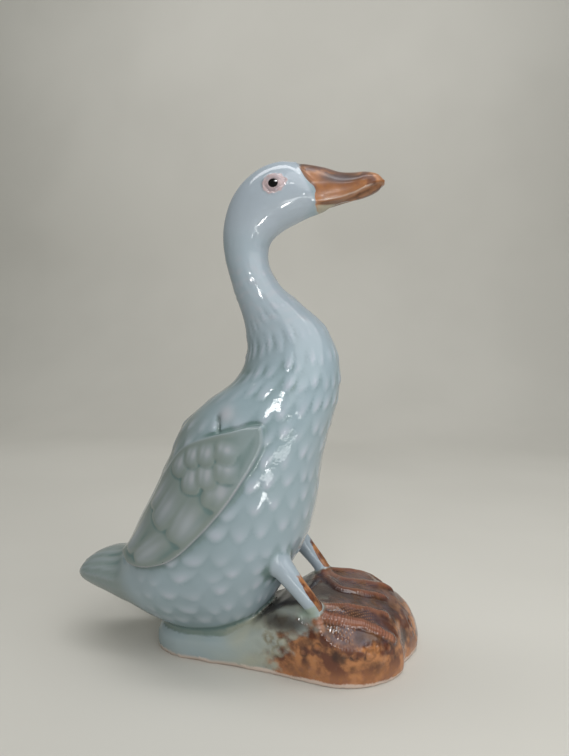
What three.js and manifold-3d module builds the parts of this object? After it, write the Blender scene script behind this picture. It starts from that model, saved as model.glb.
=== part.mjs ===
// Glazed ceramic duck standing on a low mound, slip-cast as one piece.
// Millimetres, +Z up. The duck faces +X and its left side is +Y.
// The origin is on the table, under the middle of the piece.
import * as THREE from 'three';
import { mergeVertices } from 'three/addons/utils/BufferGeometryUtils.js';
import Module from 'manifold-3d';

const wasm = await Module();
wasm.setup();

// Driving dimensions
const FEATHER_COLUMNS = 48; // lattice columns round the body, two to a feather
const FEATHER_ROW_STEP = 0.5; // from one row of feathers to the next, in ribs
const HEAD_ROW_STEP = 0.62; // from one ring of the smooth neck and head to the next, in ribs
const FEATHER_RELIEF = 0.9; // height of a breast feather's tip over its root
const FEATHER_SHIFT = 0.22; // how far a tip hangs down, as a share of the row spacing
const WING_LIFT = 3.4; // how far a wing stands off the body at its rim
const WING_FEATHER_STEP = 1.1; // step from one row of wing feathers to the next
const TOE_RADIUS = 2.7;
const TOE_TAPER = 0.28; // share of its radius that a toe loses towards the tip
const KNUCKLE_SWELL = 1.12; // a knuckle's girth over the plain toe's
const WEB_LIFT = 1.0; // how far the web stands over the mound
const WEB_SLACK = 0.12; // how far the web's edge hangs back between the tips, as a share of a toe
const BILL_SCOOP = 1.6; // depth of the hollows on each side of the bill's ridge
const RIM_SWELL = 0.4; // extra height of the wing's raised rim
const CENTRE_SHIFT = 0.3; // brings the middle of the piece's length over the origin

// Ribs of the trunk, from the belly up through breast and neck to the brow.
// Each rib crosses the middle plane: [front x, front z, back x, back z, half width].
const TRUNK_RIBS = [
  [0.5, 10.5, -37, 12.5, 14],
  [15, 25.5, -50, 21.5, 26.5],
  [23.6, 41.8, -58.5, 32.5, 33.5],
  [31.5, 57, -58, 44.5, 36],
  [36, 74.5, -52, 60.5, 36],
  [38, 91.5, -42.8, 78.3, 35.5],
  [41.5, 107.5, -35.2, 95.1, 34],
  [45.5, 121.5, -28.8, 110.5, 31],
  [46.9, 134.3, -16, 122.5, 26.5],
  [45, 147, -4.6, 131, 22],
  [38.5, 159, 1, 141.5, 17.5],
  [27.9, 168.6, 1.5, 150.5, 14.5],
  [19.2, 175.8, -0.5, 161.5, 12.5],
  [13.2, 184.6, -5.5, 176, 11.5],
  [11.5, 192.8, -9.5, 190.5, 11.2],
  [13.5, 199.1, -10.5, 203.5, 12],
  [19.3, 203.8, -7.5, 216, 13.2],
  [26, 207.1, -1.5, 225.5, 14],
  [32.1, 210, 7.5, 232.5, 13.6],
  [37.5, 212, 17, 235.5, 11.8],
  [40.5, 214.5, 24.5, 235, 8.5],
];
const BODY_SQUARENESS = 2.4; // exponent of the superellipse that the body's ribs follow
const NECK_RIB = 11; // the feathers have faded out at this rib
const HEAD_RIB = TRUNK_RIBS.length - 1;

// Ribs of the tail: [upper x, upper z, lower x, lower z, half width], from the rump to the tip.
const TAIL_RIBS = [
  [-35.5, 60.5, -27.5, 15, 28],
  [-51.5, 51.5, -42, 17, 25],
  [-62.5, 46, -53, 19.7, 21],
  [-71, 44.5, -63.2, 22.6, 17.5],
  [-77.5, 42, -72, 25.2, 14.5],
  [-82.5, 38.5, -79, 27.5, 11],
  [-85.5, 35.5, -84, 29.6, 7],
  [-87, 33, -86.8, 31.5, 2],
];
const TAIL_GROOVES = 5; // feather grooves across the upper side of the tail
const TAIL_GROOVE_DEPTH = 0.8;
const TAIL_ROW_STEP = 0.7; // from one ring of the tail to the next, in ribs

// Ribs of the bill: [upper x, upper z, lower x, lower z, half width], from the brow to the tip.
const BILL_RIBS = [
  [23.5, 234.5, 29.5, 209.5, 8],
  [30.5, 233.6, 35, 211, 9.6],
  [38.4, 231.4, 40.5, 213, 9.2],
  [45.5, 228.9, 46.5, 215, 8.2],
  [51.5, 228.3, 52, 216, 7.9],
  [57.3, 228.4, 57.5, 217.5, 8.2],
  [61.9, 227.3, 62, 219.9, 6.8],
  [64.7, 225.1, 64.5, 221.8, 3.9],
  [65.9, 224, 65.8, 222.9, 1.3],
];
const SCOOP_END_RIB = 6.5; // the hollows beside the ridge run out here
const BILL_ROW_STEP = 0.5; // from one ring of the bill to the next, in ribs

// Lower and upper edge of the wing in side view, from the shoulder to the tip: [x, z].
const WING_LOWER = [
  [17, 113], [17.3, 106], [15.2, 100], [9.1, 89.5], [2.7, 79.8], [-4.4, 71], [-11.4, 63.5],
  [-19.7, 55.8], [-28.4, 51], [-38.3, 48.6], [-47, 48.6], [-53, 51.5],
];
const WING_UPPER = [
  [16, 114], [11, 113.5], [2.5, 111], [-8.5, 108], [-21.5, 102.5],
  [-30.5, 92.5], [-38.5, 78.5], [-46, 65.5], [-51.5, 56.5], [-53.5, 52],
];
const WING_ROWS = 16;
const WING_COLUMNS = 11;
const WING_BACK = 6; // the wing's hidden face is this far from the middle plane
const WING_TIP_PLACE = 6; // the wing comes no nearer the middle plane than this

// Plan of the mound at the table: [x, y], from the front crease along the right side to the rear
// and back along the left side.
const MOUND_PLAN = [
  [78, -3], [76.6, -11.4], [69.8, -19.8], [59.3, -26], [47, -28], [34, -26],
  [19, -22.8], [2, -20.5], [-15, -19], [-30, -16.5], [-39.8, -9.6], [-42.5, 1],
  [-38, 10], [-24, 15], [-6, 18], [12, 22], [28, 28], [43, 34.5],
  [57, 38], [70, 37], [79.5, 30.5], [84.3, 21.5], [84.3, 11.5], [81, 3],
];
const MOUND_COLUMNS = 64;
// Height of the mound from rear to front: [place, height of the rim, height of the crown].
// The place is x, less a share of y because the left side reaches further forward.
const MOUND_SKEW = 0.22;
const MOUND_HEIGHTS = [
  [-45, 10.5, 13], [-20, 12.5, 15], [0, 14, 17.5], [12, 18, 21.5], [20, 22, 27],
  [28, 25.5, 31], [34, 26, 32], [42, 24, 31.2], [48, 21, 30.4], [54, 19, 29.8],
  [62, 18.5, 27.4], [68, 18, 24.8], [74, 16.5, 21], [79, 12.5, 17.5], [84, 9, 14],
];
const MOUND_EDGE = 0.34; // share of the way to the crown line over which the top rounds over
const MOUND_ROUNDNESS = 1.6; // exponent of that rounding: 1 is a bevel, 2 a quarter circle
const MOUND_RIDGE = [62, 5, -28, 0]; // front x, front y, rear x, rear y of the crown line

// Toes of both feet on the mound, each from the heel to the tip: [x, y].
const RIGHT_TOES = [
  [[38.5, -19.5], [41.5, -22.7], [48, -24.6], [54, -24.2], [59, -22.4]],
  [[38.5, -19.5], [45, -20.8], [51.6, -20.8], [58.2, -19.4], [64.6, -17], [69, -14.5], [72, -11]],
  [[39, -18.5], [45, -16], [51, -13.3], [60, -9.5], [64.5, -7.2], [69, -4.5]],
];
const LEFT_TOES = [
  [[38.5, 19.5], [44, 15], [50, 13.4], [56.5, 13.5], [62, 14.8], [68, 17.5]],
  [[39, 21], [48, 21], [56, 22], [64, 23.5], [70, 25.5], [74.5, 27.8]],
  [[38.5, 22], [46.5, 27.3], [52, 30.2], [58, 32.4], [64, 33.6]],
];

// Middle line of the left leg from inside the thigh to inside the mound: [x, y, z, radius].
const LEG_LINE = [
  [4, 15, 70, 7.5],
  [14, 19, 58.5, 6.6],
  [22, 21.8, 50.5, 5.4],
  [29.5, 22.5, 42, 4.3],
  [36, 22.5, 34.3, 3.9],
  [37.8, 21.4, 29.5, 4.7],
  [38.5, 20, 23, 4.5],
];

// Eye: place of its middle in side view, then its half length, height and bulge.
const EYE_PLACE = [16.4, 222];
const EYE_SIZE = [4.8, 4, 1.6];

function mix(a, b, t) {
  return a + (b - a) * t;
}

// Value of a column of a table at x, softly bent at each entry and held past both ends.
function lookUp(table, x, column) {
  let i = 1;
  while (i < table.length - 1 && table[i][0] < x) i += 1;
  const [low, high] = [table[i - 1], table[i]];
  const t = THREE.MathUtils.clamp((x - low[0]) / (high[0] - low[0]), 0, 1);
  const eased = t * t * (3 - 2 * t);
  return mix(low[column], high[column], mix(t, eased, 0.5));
}

function smoothCurve(points, closed = false) {
  return new THREE.CatmullRomCurve3(points, closed, 'catmullrom', 0.5);
}

// A loft's ribs as two curves. The first also carries the half width in its y.
function ribCurves(ribs) {
  return {
    first: smoothCurve(ribs.map(([x, z, , , half]) => new THREE.Vector3(x, half, z))),
    second: smoothCurve(ribs.map(([, , x, z]) => new THREE.Vector3(x, 0, z))),
    last: ribs.length - 1,
  };
}

// Exponent of the trunk's section: squarish on the body, a true ellipse on neck and head.
function trunkSquareness(t) {
  return mix(BODY_SQUARENESS, 2, THREE.MathUtils.smoothstep(t, 5, NECK_RIB));
}

function superCosine(angle, exponent) {
  const c = Math.cos(angle);
  return Math.sign(c) * Math.abs(c) ** (2 / exponent);
}

// Point on a loft at rib number t (it may lie between ribs) and angle, lifted off it by lift.
function loftPoint(curves, t, angle, lift = 0, exponent = 2) {
  const u = THREE.MathUtils.clamp(t / curves.last, 0, 1);
  const first = curves.first.getPoint(u);
  const second = curves.second.getPoint(u);
  const middle = new THREE.Vector3((first.x + second.x) / 2, 0, (first.z + second.z) / 2);
  const arm = new THREE.Vector3(first.x - middle.x, 0, first.z - middle.z);
  const depth = arm.length();
  arm.normalize();
  const across = first.y;
  const along = depth * superCosine(angle, exponent);
  const side = across * superCosine(angle - Math.PI / 2, exponent);
  const normal = new THREE.Vector2(across * Math.cos(angle), depth * Math.sin(angle)).normalize();
  return new THREE.Vector3(
    middle.x + arm.x * (along + lift * normal.x),
    side + lift * normal.y,
    middle.z + arm.z * (along + lift * normal.x),
  );
}

// Closed skin over a stack of rings of equal length, with a fan at each end.
function skin(rings) {
  const count = rings[0].length;
  const points = rings.flat();
  const faces = [];
  for (let j = 0; j < rings.length - 1; j += 1) {
    for (let i = 0; i < count; i += 1) {
      const a = j * count + i;
      const b = j * count + ((i + 1) % count);
      const c = b + count;
      const d = a + count;
      const parity = (i + j) % 2;
      if (parity) faces.push([a, b, c], [a, c, d]);
      else faces.push([a, b, d], [b, c, d]);
    }
  }
  const sum = (ring) => ring.reduce((total, p) => total.add(p), new THREE.Vector3());
  const capCentre = (ring) => sum(ring).divideScalar(count);
  const start = points.length;
  points.push(capCentre(rings[0]), capCentre(rings.at(-1)));
  const top = (rings.length - 1) * count;
  for (let i = 0; i < count; i += 1) {
    const next = (i + 1) % count;
    faces.push([start, next, i], [start + 1, top + i, top + next]);
  }
  return toGeometry(points, faces);
}

function toGeometry(points, faces) {
  const geometry = new THREE.BufferGeometry().setFromPoints(points);
  geometry.setIndex(faces.flat());
  return geometry;
}

// A closed geometry as a solid that can be joined and cut. Its faces are turned out where needed.
function toSolid(geometry) {
  const merged = mergeVertices(geometry, 1e-3);
  const position = merged.attributes.position;
  const index = merged.index.array;
  const kept = [];
  let volume = 0;
  const [a, b, c] = [new THREE.Vector3(), new THREE.Vector3(), new THREE.Vector3()];
  for (let i = 0; i < index.length; i += 3) {
    const [p, q, r] = index.slice(i, i + 3);
    if (p === q || q === r || r === p) continue;
    a.fromBufferAttribute(position, p);
    b.fromBufferAttribute(position, q);
    c.fromBufferAttribute(position, r);
    volume += a.dot(b.cross(c));
    kept.push(p, q, r);
  }
  if (volume < 0) kept.reverse();
  return new wasm.Manifold(
    new wasm.Mesh({ numProp: 3, vertProperties: position.array, triVerts: Uint32Array.from(kept) }),
  );
}

const trunkCurves = ribCurves(TRUNK_RIBS);
const tailCurves = ribCurves(TAIL_RIBS);
const billCurves = ribCurves(BILL_RIBS);

// Height of the feather relief at a rib number: full on the body, fading up the neck.
function featherRelief(t) {
  const fadeIn = THREE.MathUtils.smoothstep(t, 0.5, 2);
  const fadeOut = 1 - THREE.MathUtils.smoothstep(t, 7.5, NECK_RIB);
  return FEATHER_RELIEF * fadeIn * fadeOut;
}

// Belly, breast, neck and head in one loft. On the body the lattice rows make overlapping
// pointed feathers: every second vertex is a tip, which stands proud and hangs down.
function trunk() {
  const rows = [];
  for (let t = 0; t < NECK_RIB; t += FEATHER_ROW_STEP) rows.push(t);
  for (let t = NECK_RIB; t < HEAD_RIB; t += HEAD_ROW_STEP) rows.push(t);
  rows.push(HEAD_RIB);
  const rings = rows.map((t, j) => {
    const relief = featherRelief(t);
    const shift = (relief / FEATHER_RELIEF) * FEATHER_SHIFT * FEATHER_ROW_STEP;
    return Array.from({ length: FEATHER_COLUMNS }, (_, i) => {
      const angle = (2 * Math.PI * i) / FEATHER_COLUMNS;
      const isTip = (i + j) % 2 === 0;
      return isTip
        ? loftPoint(trunkCurves, t - shift, angle, relief / 2, trunkSquareness(t))
        : loftPoint(trunkCurves, t + shift, angle, -relief / 2, trunkSquareness(t));
    });
  });
  return toSolid(skin(rings));
}

// Short flat tail with feather grooves that fan out over its upper side.
function tail() {
  const columns = 4 * TAIL_GROOVES + 4;
  const rings = [];
  for (let t = 0; t <= tailCurves.last; t += TAIL_ROW_STEP) {
    const depth = TAIL_GROOVE_DEPTH * THREE.MathUtils.smoothstep(t, 1.5, 3);
    rings.push(Array.from({ length: columns }, (_, i) => {
      const angle = (2 * Math.PI * (i + 0.5)) / columns;
      const upper = Math.cos(angle) > 0;
      const groove = upper && i % 2 === 0 ? -depth : 0;
      return loftPoint(tailCurves, t, angle, groove);
    }));
  }
  return toSolid(skin(rings));
}

// Bill: a loft that is flat below, with a ridge along the top and a scoop on each side of it.
function bill() {
  const columns = 20;
  const rings = [];
  for (let t = 0; t <= billCurves.last; t += BILL_ROW_STEP) {
    rings.push(Array.from({ length: columns }, (_, i) => {
      const angle = (2 * Math.PI * i) / columns;
      const fromRidge = Math.min(angle, 2 * Math.PI - angle);
      const scoop = Math.max(0, Math.sin(2 * fromRidge));
      const alongBill = THREE.MathUtils.clamp(t / SCOOP_END_RIB, 0, 1);
      const depth = BILL_SCOOP * scoop * Math.sin(Math.PI * alongBill);
      return loftPoint(billCurves, t, angle, -depth);
    }));
  }
  return toSolid(skin(rings));
}

// Half width of a loft at a place in side view, found on the rib that passes through it.
function halfWidth(curves, x, z, squareness) {
  let [low, high] = [0, curves.last];
  for (let step = 0; step < 24; step += 1) {
    const t = (low + high) / 2;
    const first = curves.first.getPoint(t / curves.last);
    const second = curves.second.getPoint(t / curves.last);
    const rib = new THREE.Vector2(first.x - second.x, first.z - second.z);
    const beyond = rib.cross(new THREE.Vector2(x - second.x, z - second.z)) > 0;
    if (beyond) low = t;
    else high = t;
  }
  const first = curves.first.getPoint(low / curves.last);
  const second = curves.second.getPoint(low / curves.last);
  const half = Math.hypot(first.x - second.x, first.z - second.z) / 2;
  const reach = Math.hypot(x - (first.x + second.x) / 2, z - (first.z + second.z) / 2) / half;
  const exponent = squareness(low);
  return first.y * Math.max(0, 1 - reach ** exponent) ** (1 / exponent);
}

// Half width of the body at a place in side view, with the tail where that is the wider one.
function bodyHalfWidth(x, z) {
  return Math.max(halfWidth(trunkCurves, x, z, trunkSquareness), halfWidth(tailCurves, x, z, () => 2));
}

// Folded wing on one side: a leaf-shaped slab that follows the body, with a raised rim below
// and rows of feathers that step down towards the tip.
function wing(side) {
  const lower = smoothCurve(WING_LOWER.map(([x, z]) => new THREE.Vector3(x, 0, z)));
  const upper = smoothCurve(WING_UPPER.map(([x, z]) => new THREE.Vector3(x, 0, z)));
  const rings = [];
  for (let j = 0; j <= WING_ROWS; j += 1) {
    const s = j / WING_ROWS;
    const outer = [];
    const inner = [];
    for (let i = 0; i <= WING_COLUMNS; i += 1) {
      const v = i / WING_COLUMNS;
      const place = lower.getPoint(s).lerp(upper.getPoint(s), v);
      const rim = 1 - THREE.MathUtils.smoothstep(v, 0.05, 0.2);
      const fade = 1 - 0.75 * THREE.MathUtils.smoothstep(v, 0.55, 1);
      const tip = (i + j) % 2 === 0 ? 0.5 : -0.5;
      const feather = (1 - rim) * WING_FEATHER_STEP * tip;
      const lift = (WING_LIFT + RIM_SWELL * rim + feather) * fade;
      const half = Math.max(bodyHalfWidth(place.x, place.z), WING_TIP_PLACE) + lift;
      outer.push(new THREE.Vector3(place.x, side * half, place.z));
      inner.push(new THREE.Vector3(place.x, side * Math.min(WING_BACK, half - 2.5), place.z));
    }
    rings.push([...outer, ...inner.reverse()]);
  }
  return toSolid(skin(rings));
}

function rimHeight(x, y) {
  return lookUp(MOUND_HEIGHTS, x - MOUND_SKEW * y, 1);
}

// Height of the mound's skin, where share runs from 0 at the rim to 1 on the crown line.
function moundHeight(x, y, share) {
  const rim = rimHeight(x, y);
  const crown = lookUp(MOUND_HEIGHTS, x - MOUND_SKEW * y, 2);
  const inward = Math.min(share / MOUND_EDGE, 1);
  return mix(rim, crown, 1 - (1 - inward) ** MOUND_ROUNDNESS);
}

const moundPlan = smoothCurve(MOUND_PLAN.map(([x, y]) => new THREE.Vector3(x, y, 0)), true);
const [RIDGE_FRONT_X, RIDGE_FRONT_Y, RIDGE_REAR_X, RIDGE_REAR_Y] = MOUND_RIDGE;

// Point of the crown line that faces a share of the way round the plan.
function crownPoint(u) {
  const t = (1 - Math.cos(2 * Math.PI * u)) / 2;
  return new THREE.Vector3(mix(RIDGE_FRONT_X, RIDGE_REAR_X, t), mix(RIDGE_FRONT_Y, RIDGE_REAR_Y, t), 0);
}

// Low mound with a lobed front, highest under the heels. Its underside is flat.
function mound() {
  const outline = Array.from({ length: MOUND_COLUMNS }, (_, i) => moundPlan.getPoint(i / MOUND_COLUMNS));
  const crown = outline.map((_, i) => crownPoint(i / MOUND_COLUMNS));
  const level = (share, height) => outline.map((edge, i) => {
    const p = edge.clone().lerp(crown[i], share);
    p.z = height(p, share);
    return p;
  });
  const wall = (part) => (p) => part * rimHeight(p.x, p.y);
  const top = (p, share) => moundHeight(p.x, p.y, share);
  const rings = [
    level(0.03, () => 0),
    level(0, wall(0.12)),
    level(-0.02, wall(0.5)),
    level(0, wall(0.9)),
    level(0.05, top),
    level(0.15, top),
    level(MOUND_EDGE, top),
    level(0.65, top),
    level(1, top),
  ];
  return toSolid(skin(rings));
}

// Height of the mound at a place in plan, on the line from the rim to the crown that passes nearest.
function groundUnder(x, y) {
  const place = new THREE.Vector3(x, y, 0);
  const nearest = new THREE.Vector3();
  let [best, share] = [Infinity, 0];
  const columns = 4 * MOUND_COLUMNS;
  for (let i = 0; i < columns; i += 1) {
    const line = new THREE.Line3(moundPlan.getPoint(i / columns), crownPoint(i / columns));
    const along = line.closestPointToPointParameter(place, true);
    const distance = line.at(along, nearest).distanceTo(place);
    if (distance < best) [best, share] = [distance, along];
  }
  return moundHeight(x, y, share);
}

// One toe: a tapered ridge that follows the mound from the heel to its tip.
function toe(places) {
  const path = smoothCurve(places.map(([x, y]) => new THREE.Vector3(x, y, 0)));
  const steps = 7;
  const sides = 8;
  const rings = [];
  for (let j = 0; j <= steps; j += 1) {
    const u = j / steps;
    const centre = path.getPoint(u);
    centre.z = groundUnder(centre.x, centre.y) - 0.3;
    const heading = path.getTangent(u).setZ(0).normalize();
    const across = new THREE.Vector3(-heading.y, heading.x, 0);
    const knuckle = j === 3 || j === 5 ? KNUCKLE_SWELL : 1;
    const tip = j === steps ? 0.45 : 1;
    const radius = TOE_RADIUS * knuckle * (1 - TOE_TAPER * u) * tip;
    rings.push(Array.from({ length: sides }, (_, i) => {
      const angle = (2 * Math.PI * i) / sides;
      return centre.clone()
        .addScaledVector(across, radius * Math.cos(angle))
        .add(new THREE.Vector3(0, 0, radius * Math.sin(angle)));
    }));
  }
  return toSolid(skin(rings));
}

// Web between two toes: a thin plate over the mound that hangs slack between their tips.
function web(toeA, toeB) {
  const pathA = smoothCurve(toeA.map(([x, y]) => new THREE.Vector3(x, y, 0)));
  const pathB = smoothCurve(toeB.map(([x, y]) => new THREE.Vector3(x, y, 0)));
  const rings = [];
  for (let j = 0; j <= 4; j += 1) {
    const u = j / 4;
    const reach = 0.1 + 0.8 * u;
    const [top, bottom] = [[], []];
    for (let i = 0; i <= 4; i += 1) {
      const v = i / 4;
      const slack = WEB_SLACK * Math.sin(Math.PI * v) * u;
      const p = pathA.getPoint(reach - slack).lerp(pathB.getPoint(reach - slack), v);
      const z = groundUnder(p.x, p.y);
      top.push(new THREE.Vector3(p.x, p.y, z + WEB_LIFT));
      bottom.push(new THREE.Vector3(p.x, p.y, z - 3));
    }
    rings.push([...top, ...bottom.reverse()]);
  }
  return toSolid(skin(rings));
}

// Slanting leg that bends upright into a heel at the foot.
function leg(side) {
  const path = smoothCurve(LEG_LINE.map(([x, y, z]) => new THREE.Vector3(x, side * y, z)));
  const girth = smoothCurve(LEG_LINE.map(([, , , radius]) => new THREE.Vector3(radius, 0, 0)));
  const sides = 12;
  const steps = 12;
  const rings = [];
  for (let j = 0; j <= steps; j += 1) {
    const u = j / steps;
    const centre = path.getPoint(u);
    const heading = path.getTangent(u);
    const across = new THREE.Vector3(0, 1, 0).projectOnPlane(heading).normalize();
    const front = new THREE.Vector3().crossVectors(across, heading);
    const radius = girth.getPoint(u).x;
    rings.push(Array.from({ length: sides }, (_, i) => {
      const angle = (2 * Math.PI * i) / sides;
      return centre.clone()
        .addScaledVector(across, radius * Math.cos(angle))
        .addScaledVector(front, radius * Math.sin(angle));
    }));
  }
  return toSolid(skin(rings));
}

// Eye: a shallow round bulge on the side of the head.
function eye(side) {
  const [x, z] = EYE_PLACE;
  const [length, height, bulge] = EYE_SIZE;
  const ball = new THREE.SphereGeometry(1, 12, 8);
  ball.scale(length, bulge, height);
  ball.translate(x, side * (bodyHalfWidth(x, z) - 0.5), z);
  ball.deleteAttribute('normal');
  ball.deleteAttribute('uv');
  return toSolid(ball);
}

function fuse(solids) {
  return solids.reduce((whole, next) => whole.add(next));
}

const feet = [RIGHT_TOES, LEFT_TOES].flatMap((toes) => [
  ...toes.map(toe),
  web(toes[0], toes[1]),
  web(toes[1], toes[2]),
]);
const sides = [-1, 1].flatMap((side) => [wing(side), leg(side), eye(side)]);
const whole = fuse([trunk(), tail(), bill(), mound(), ...sides, ...feet]);

const skinMesh = whole.getMesh();
const corners = new THREE.BufferAttribute(Float32Array.from(skinMesh.vertProperties), 3);
const duckGeometry = new THREE.BufferGeometry();
duckGeometry.setAttribute('position', corners);
duckGeometry.setIndex(new THREE.BufferAttribute(Uint32Array.from(skinMesh.triVerts), 1));

const celadonGlaze = new THREE.MeshStandardMaterial({ color: 0x9fb3ae, roughness: 0.15, metalness: 0 });
const duck = new THREE.Mesh(duckGeometry, celadonGlaze);
duck.name = 'duck_figurine';

const figurine = new THREE.Group();
figurine.position.x = CENTRE_SHIFT;
figurine.add(duck);

export default figurine;
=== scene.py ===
"""Looks of the glazed ceramic duck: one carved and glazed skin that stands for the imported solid.

The skin is grown as the zero surface of a field, worked out in millimetres from the same ribs,
edges and paths as the solid. It is then refined where the carving is fine, displaced by the
feather relief and turned into metres. Glaze colours come from node materials that read values
stored on the skin's points. Sizes are in millimetres unless a comment says otherwise.
"""
import math

import bpy
import numpy as np
from mathutils import Matrix, Vector


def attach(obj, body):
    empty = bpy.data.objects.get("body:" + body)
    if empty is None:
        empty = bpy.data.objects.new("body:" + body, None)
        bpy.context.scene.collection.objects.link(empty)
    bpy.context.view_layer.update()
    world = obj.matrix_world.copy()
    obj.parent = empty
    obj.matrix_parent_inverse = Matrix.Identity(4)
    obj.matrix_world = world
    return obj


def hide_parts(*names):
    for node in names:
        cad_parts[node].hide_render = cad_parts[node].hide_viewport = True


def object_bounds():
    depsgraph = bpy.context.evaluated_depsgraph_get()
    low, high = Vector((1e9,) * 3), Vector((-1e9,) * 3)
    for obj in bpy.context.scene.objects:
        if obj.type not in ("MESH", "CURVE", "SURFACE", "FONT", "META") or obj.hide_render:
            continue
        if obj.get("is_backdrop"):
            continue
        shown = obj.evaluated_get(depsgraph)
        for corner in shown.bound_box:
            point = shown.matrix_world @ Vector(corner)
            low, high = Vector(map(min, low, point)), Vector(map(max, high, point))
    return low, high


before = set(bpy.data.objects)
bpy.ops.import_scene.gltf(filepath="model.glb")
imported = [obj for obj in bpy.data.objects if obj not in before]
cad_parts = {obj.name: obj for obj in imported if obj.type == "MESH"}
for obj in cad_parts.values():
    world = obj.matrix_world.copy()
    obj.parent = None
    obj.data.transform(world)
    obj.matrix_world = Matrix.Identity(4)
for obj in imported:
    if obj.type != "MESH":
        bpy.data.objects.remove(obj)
cad_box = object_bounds()

MM = 0.001  # metres
CENTRE_SHIFT = 0.3  # the solid's own shift along x

# Ribs of the trunk, from the belly up to the brow: [front x, front z, back x, back z, half width].
TRUNK_RIBS = np.array([
    [0.5, 10.5, -37, 12.5, 14],
    [15, 25.5, -50, 21.5, 26.5],
    [23.6, 41.8, -58.5, 32.5, 33.5],
    [31.5, 57, -58, 44.5, 36],
    [36, 74.5, -52, 60.5, 36],
    [38, 91.5, -42.8, 78.3, 35.5],
    [41.5, 107.5, -35.2, 95.1, 34],
    [45.5, 121.5, -28.8, 110.5, 31],
    [46.9, 134.3, -16, 122.5, 26.5],
    [45, 147, -4.6, 131, 22],
    [38.5, 159, 1, 141.5, 17.5],
    [27.9, 168.6, 1.5, 150.5, 14.2],
    [19.2, 175.8, -0.5, 161.5, 12.1],
    [13.2, 184.6, -5.5, 176, 11.4],
    [11.5, 192.8, -9.5, 190.5, 11.3],
    [13.5, 199.1, -10.5, 203.5, 12],
    [19.3, 203.8, -7.5, 216, 13.2],
    [26, 207.1, -1.5, 225.5, 14],
    [32.1, 210, 7.5, 232.5, 13.6],
    [37.5, 212, 17, 235.4, 11.8],
    [40.5, 214.5, 24.5, 234.8, 8.5],
])
BODY_SQUARENESS = 2.4  # of the belly's ribs, where 2 is a plain ellipse
NECK_RIB = 11  # the first rib that is a plain ellipse

# Ribs of tail and bill: [upper x, upper z, lower x, lower z, half width].
TAIL_RIBS = np.array([
    [-35.5, 60.5, -27.5, 15, 28],
    [-51.5, 51.5, -42, 17, 25],
    [-62.5, 46, -53, 19.7, 21],
    [-71, 44.5, -63.2, 22.6, 17.5],
    [-77.5, 42, -72, 25.2, 14.5],
    [-82.5, 38.5, -79, 27.5, 11],
    [-84.8, 35.5, -83.6, 29.6, 7],
    [-85.9, 33, -85.8, 31.5, 2],
])
BILL_RIBS = np.array([
    [23.5, 234.5, 29.5, 209.5, 8],
    [30.5, 233.8, 35, 211, 9.6],
    [38.4, 232.1, 40.5, 213, 9.2],
    [45.5, 229.7, 46.5, 215, 8.2],
    [51.5, 229.1, 52, 216, 7.9],
    [57.3, 229.2, 57.5, 217.5, 8.2],
    [61.8, 228.1, 61.9, 219.3, 6.9],
    [64.5, 226.2, 64.3, 220.8, 4.8],
    [66, 224.5, 65.9, 222.4, 2.2],
])
BILL_SCOOP = 1.6  # depth of the hollows beside the ridge on top of the bill
SCOOP_END_RIB = 6.5

# Lower and upper edge of the wing in side view, from the shoulder to the tip: [x, z].
WING_LOWER = np.array([
    [17, 113], [17.3, 106], [15.2, 100], [9.1, 89.5], [2.7, 79.8], [-4.4, 71], [-11.4, 63.5],
    [-19.7, 55.8], [-28.4, 51], [-38.3, 48.6], [-47, 48.6], [-53, 51.5],
])
WING_UPPER = np.array([
    [16, 114], [11, 113.5], [2.5, 111], [-8.5, 108], [-21.5, 102.5],
    [-30.5, 92.5], [-38.5, 78.5], [-46, 65.5], [-51.5, 56.5], [-53.5, 52],
])
WING_LIFT = 3.3  # how far the wing's lower half stands off the body

# Plan of the mound at the table, its crown line and its heights: [place, rim, crown].
MOUND_PLAN = np.array([
    [78, -3], [76.6, -11.4], [69.8, -19.8], [59.3, -26], [47, -28], [34, -26],
    [19, -22.8], [2, -20.5], [-15, -19], [-30, -16.5], [-39.8, -9.6], [-42.5, 1],
    [-38, 10], [-24, 15], [-6, 18], [12, 22], [28, 28], [43, 34.5],
    [57, 38], [70, 37], [79.5, 30.5], [84.3, 21.5], [84.3, 11.5], [81, 3],
])
MOUND_SKEW = 0.22  # how far each line of heights runs forward for 1 mm to the left
MOUND_HEIGHTS = np.array([
    [-45, 10.5, 13], [-20, 12.5, 15], [0, 14, 17.5], [12, 18, 21.5], [20, 22, 27],
    [28, 25.5, 31], [34, 26, 32], [42, 24, 31.2], [48, 21, 30.4], [54, 19, 29.8],
    [62, 18.5, 27.4], [68, 18, 24.8], [74, 16.5, 21], [79, 12.5, 17.5], [84, 9, 14],
])
MOUND_EDGE = 0.34  # share of the way from the rim to the crown line over which the top rises
MOUND_ROUNDNESS = 1.6  # power of that rise, where 1 is a straight slope
RIDGE_FRONT = np.array([62.0, 5.0])  # ends of the crown line in plan
RIDGE_REAR = np.array([-28.0, 0.0])

# Toes of the right and the left foot in plan, each from the heel to the tip: [x, y].
RIGHT_TOES = [
    [[38.5, -19.5], [40.5, -24], [45, -26.2], [51, -26.8], [58.5, -25.4]],
    [[38.5, -19.5], [43.6, -21.4], [52, -20.8], [58.3, -18.9], [64.1, -17.2], [72, -14]],
    [[39, -18.5], [45, -16], [51, -13.3], [60, -9.5], [64.5, -7.2], [69, -4.5]],
]
LEFT_TOES = [
    [[38.5, 18], [41.5, 9.5], [47, 3.6], [55, 3.6], [62, 6.5], [68, 10]],
    [[38.5, 20], [45, 14.5], [51.5, 13.8], [59, 15.8], [65, 19], [71, 23]],
    [[38.5, 22], [46, 24.5], [53, 27], [60, 29.6], [66, 31.6]],
]
TOE_RADIUS = 2.3
TOE_TAPER = 0.22  # share of its radius that a toe loses up to its tip
TOE_SINK = 0.7  # how far a toe's middle line lies below the mound's top
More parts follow.
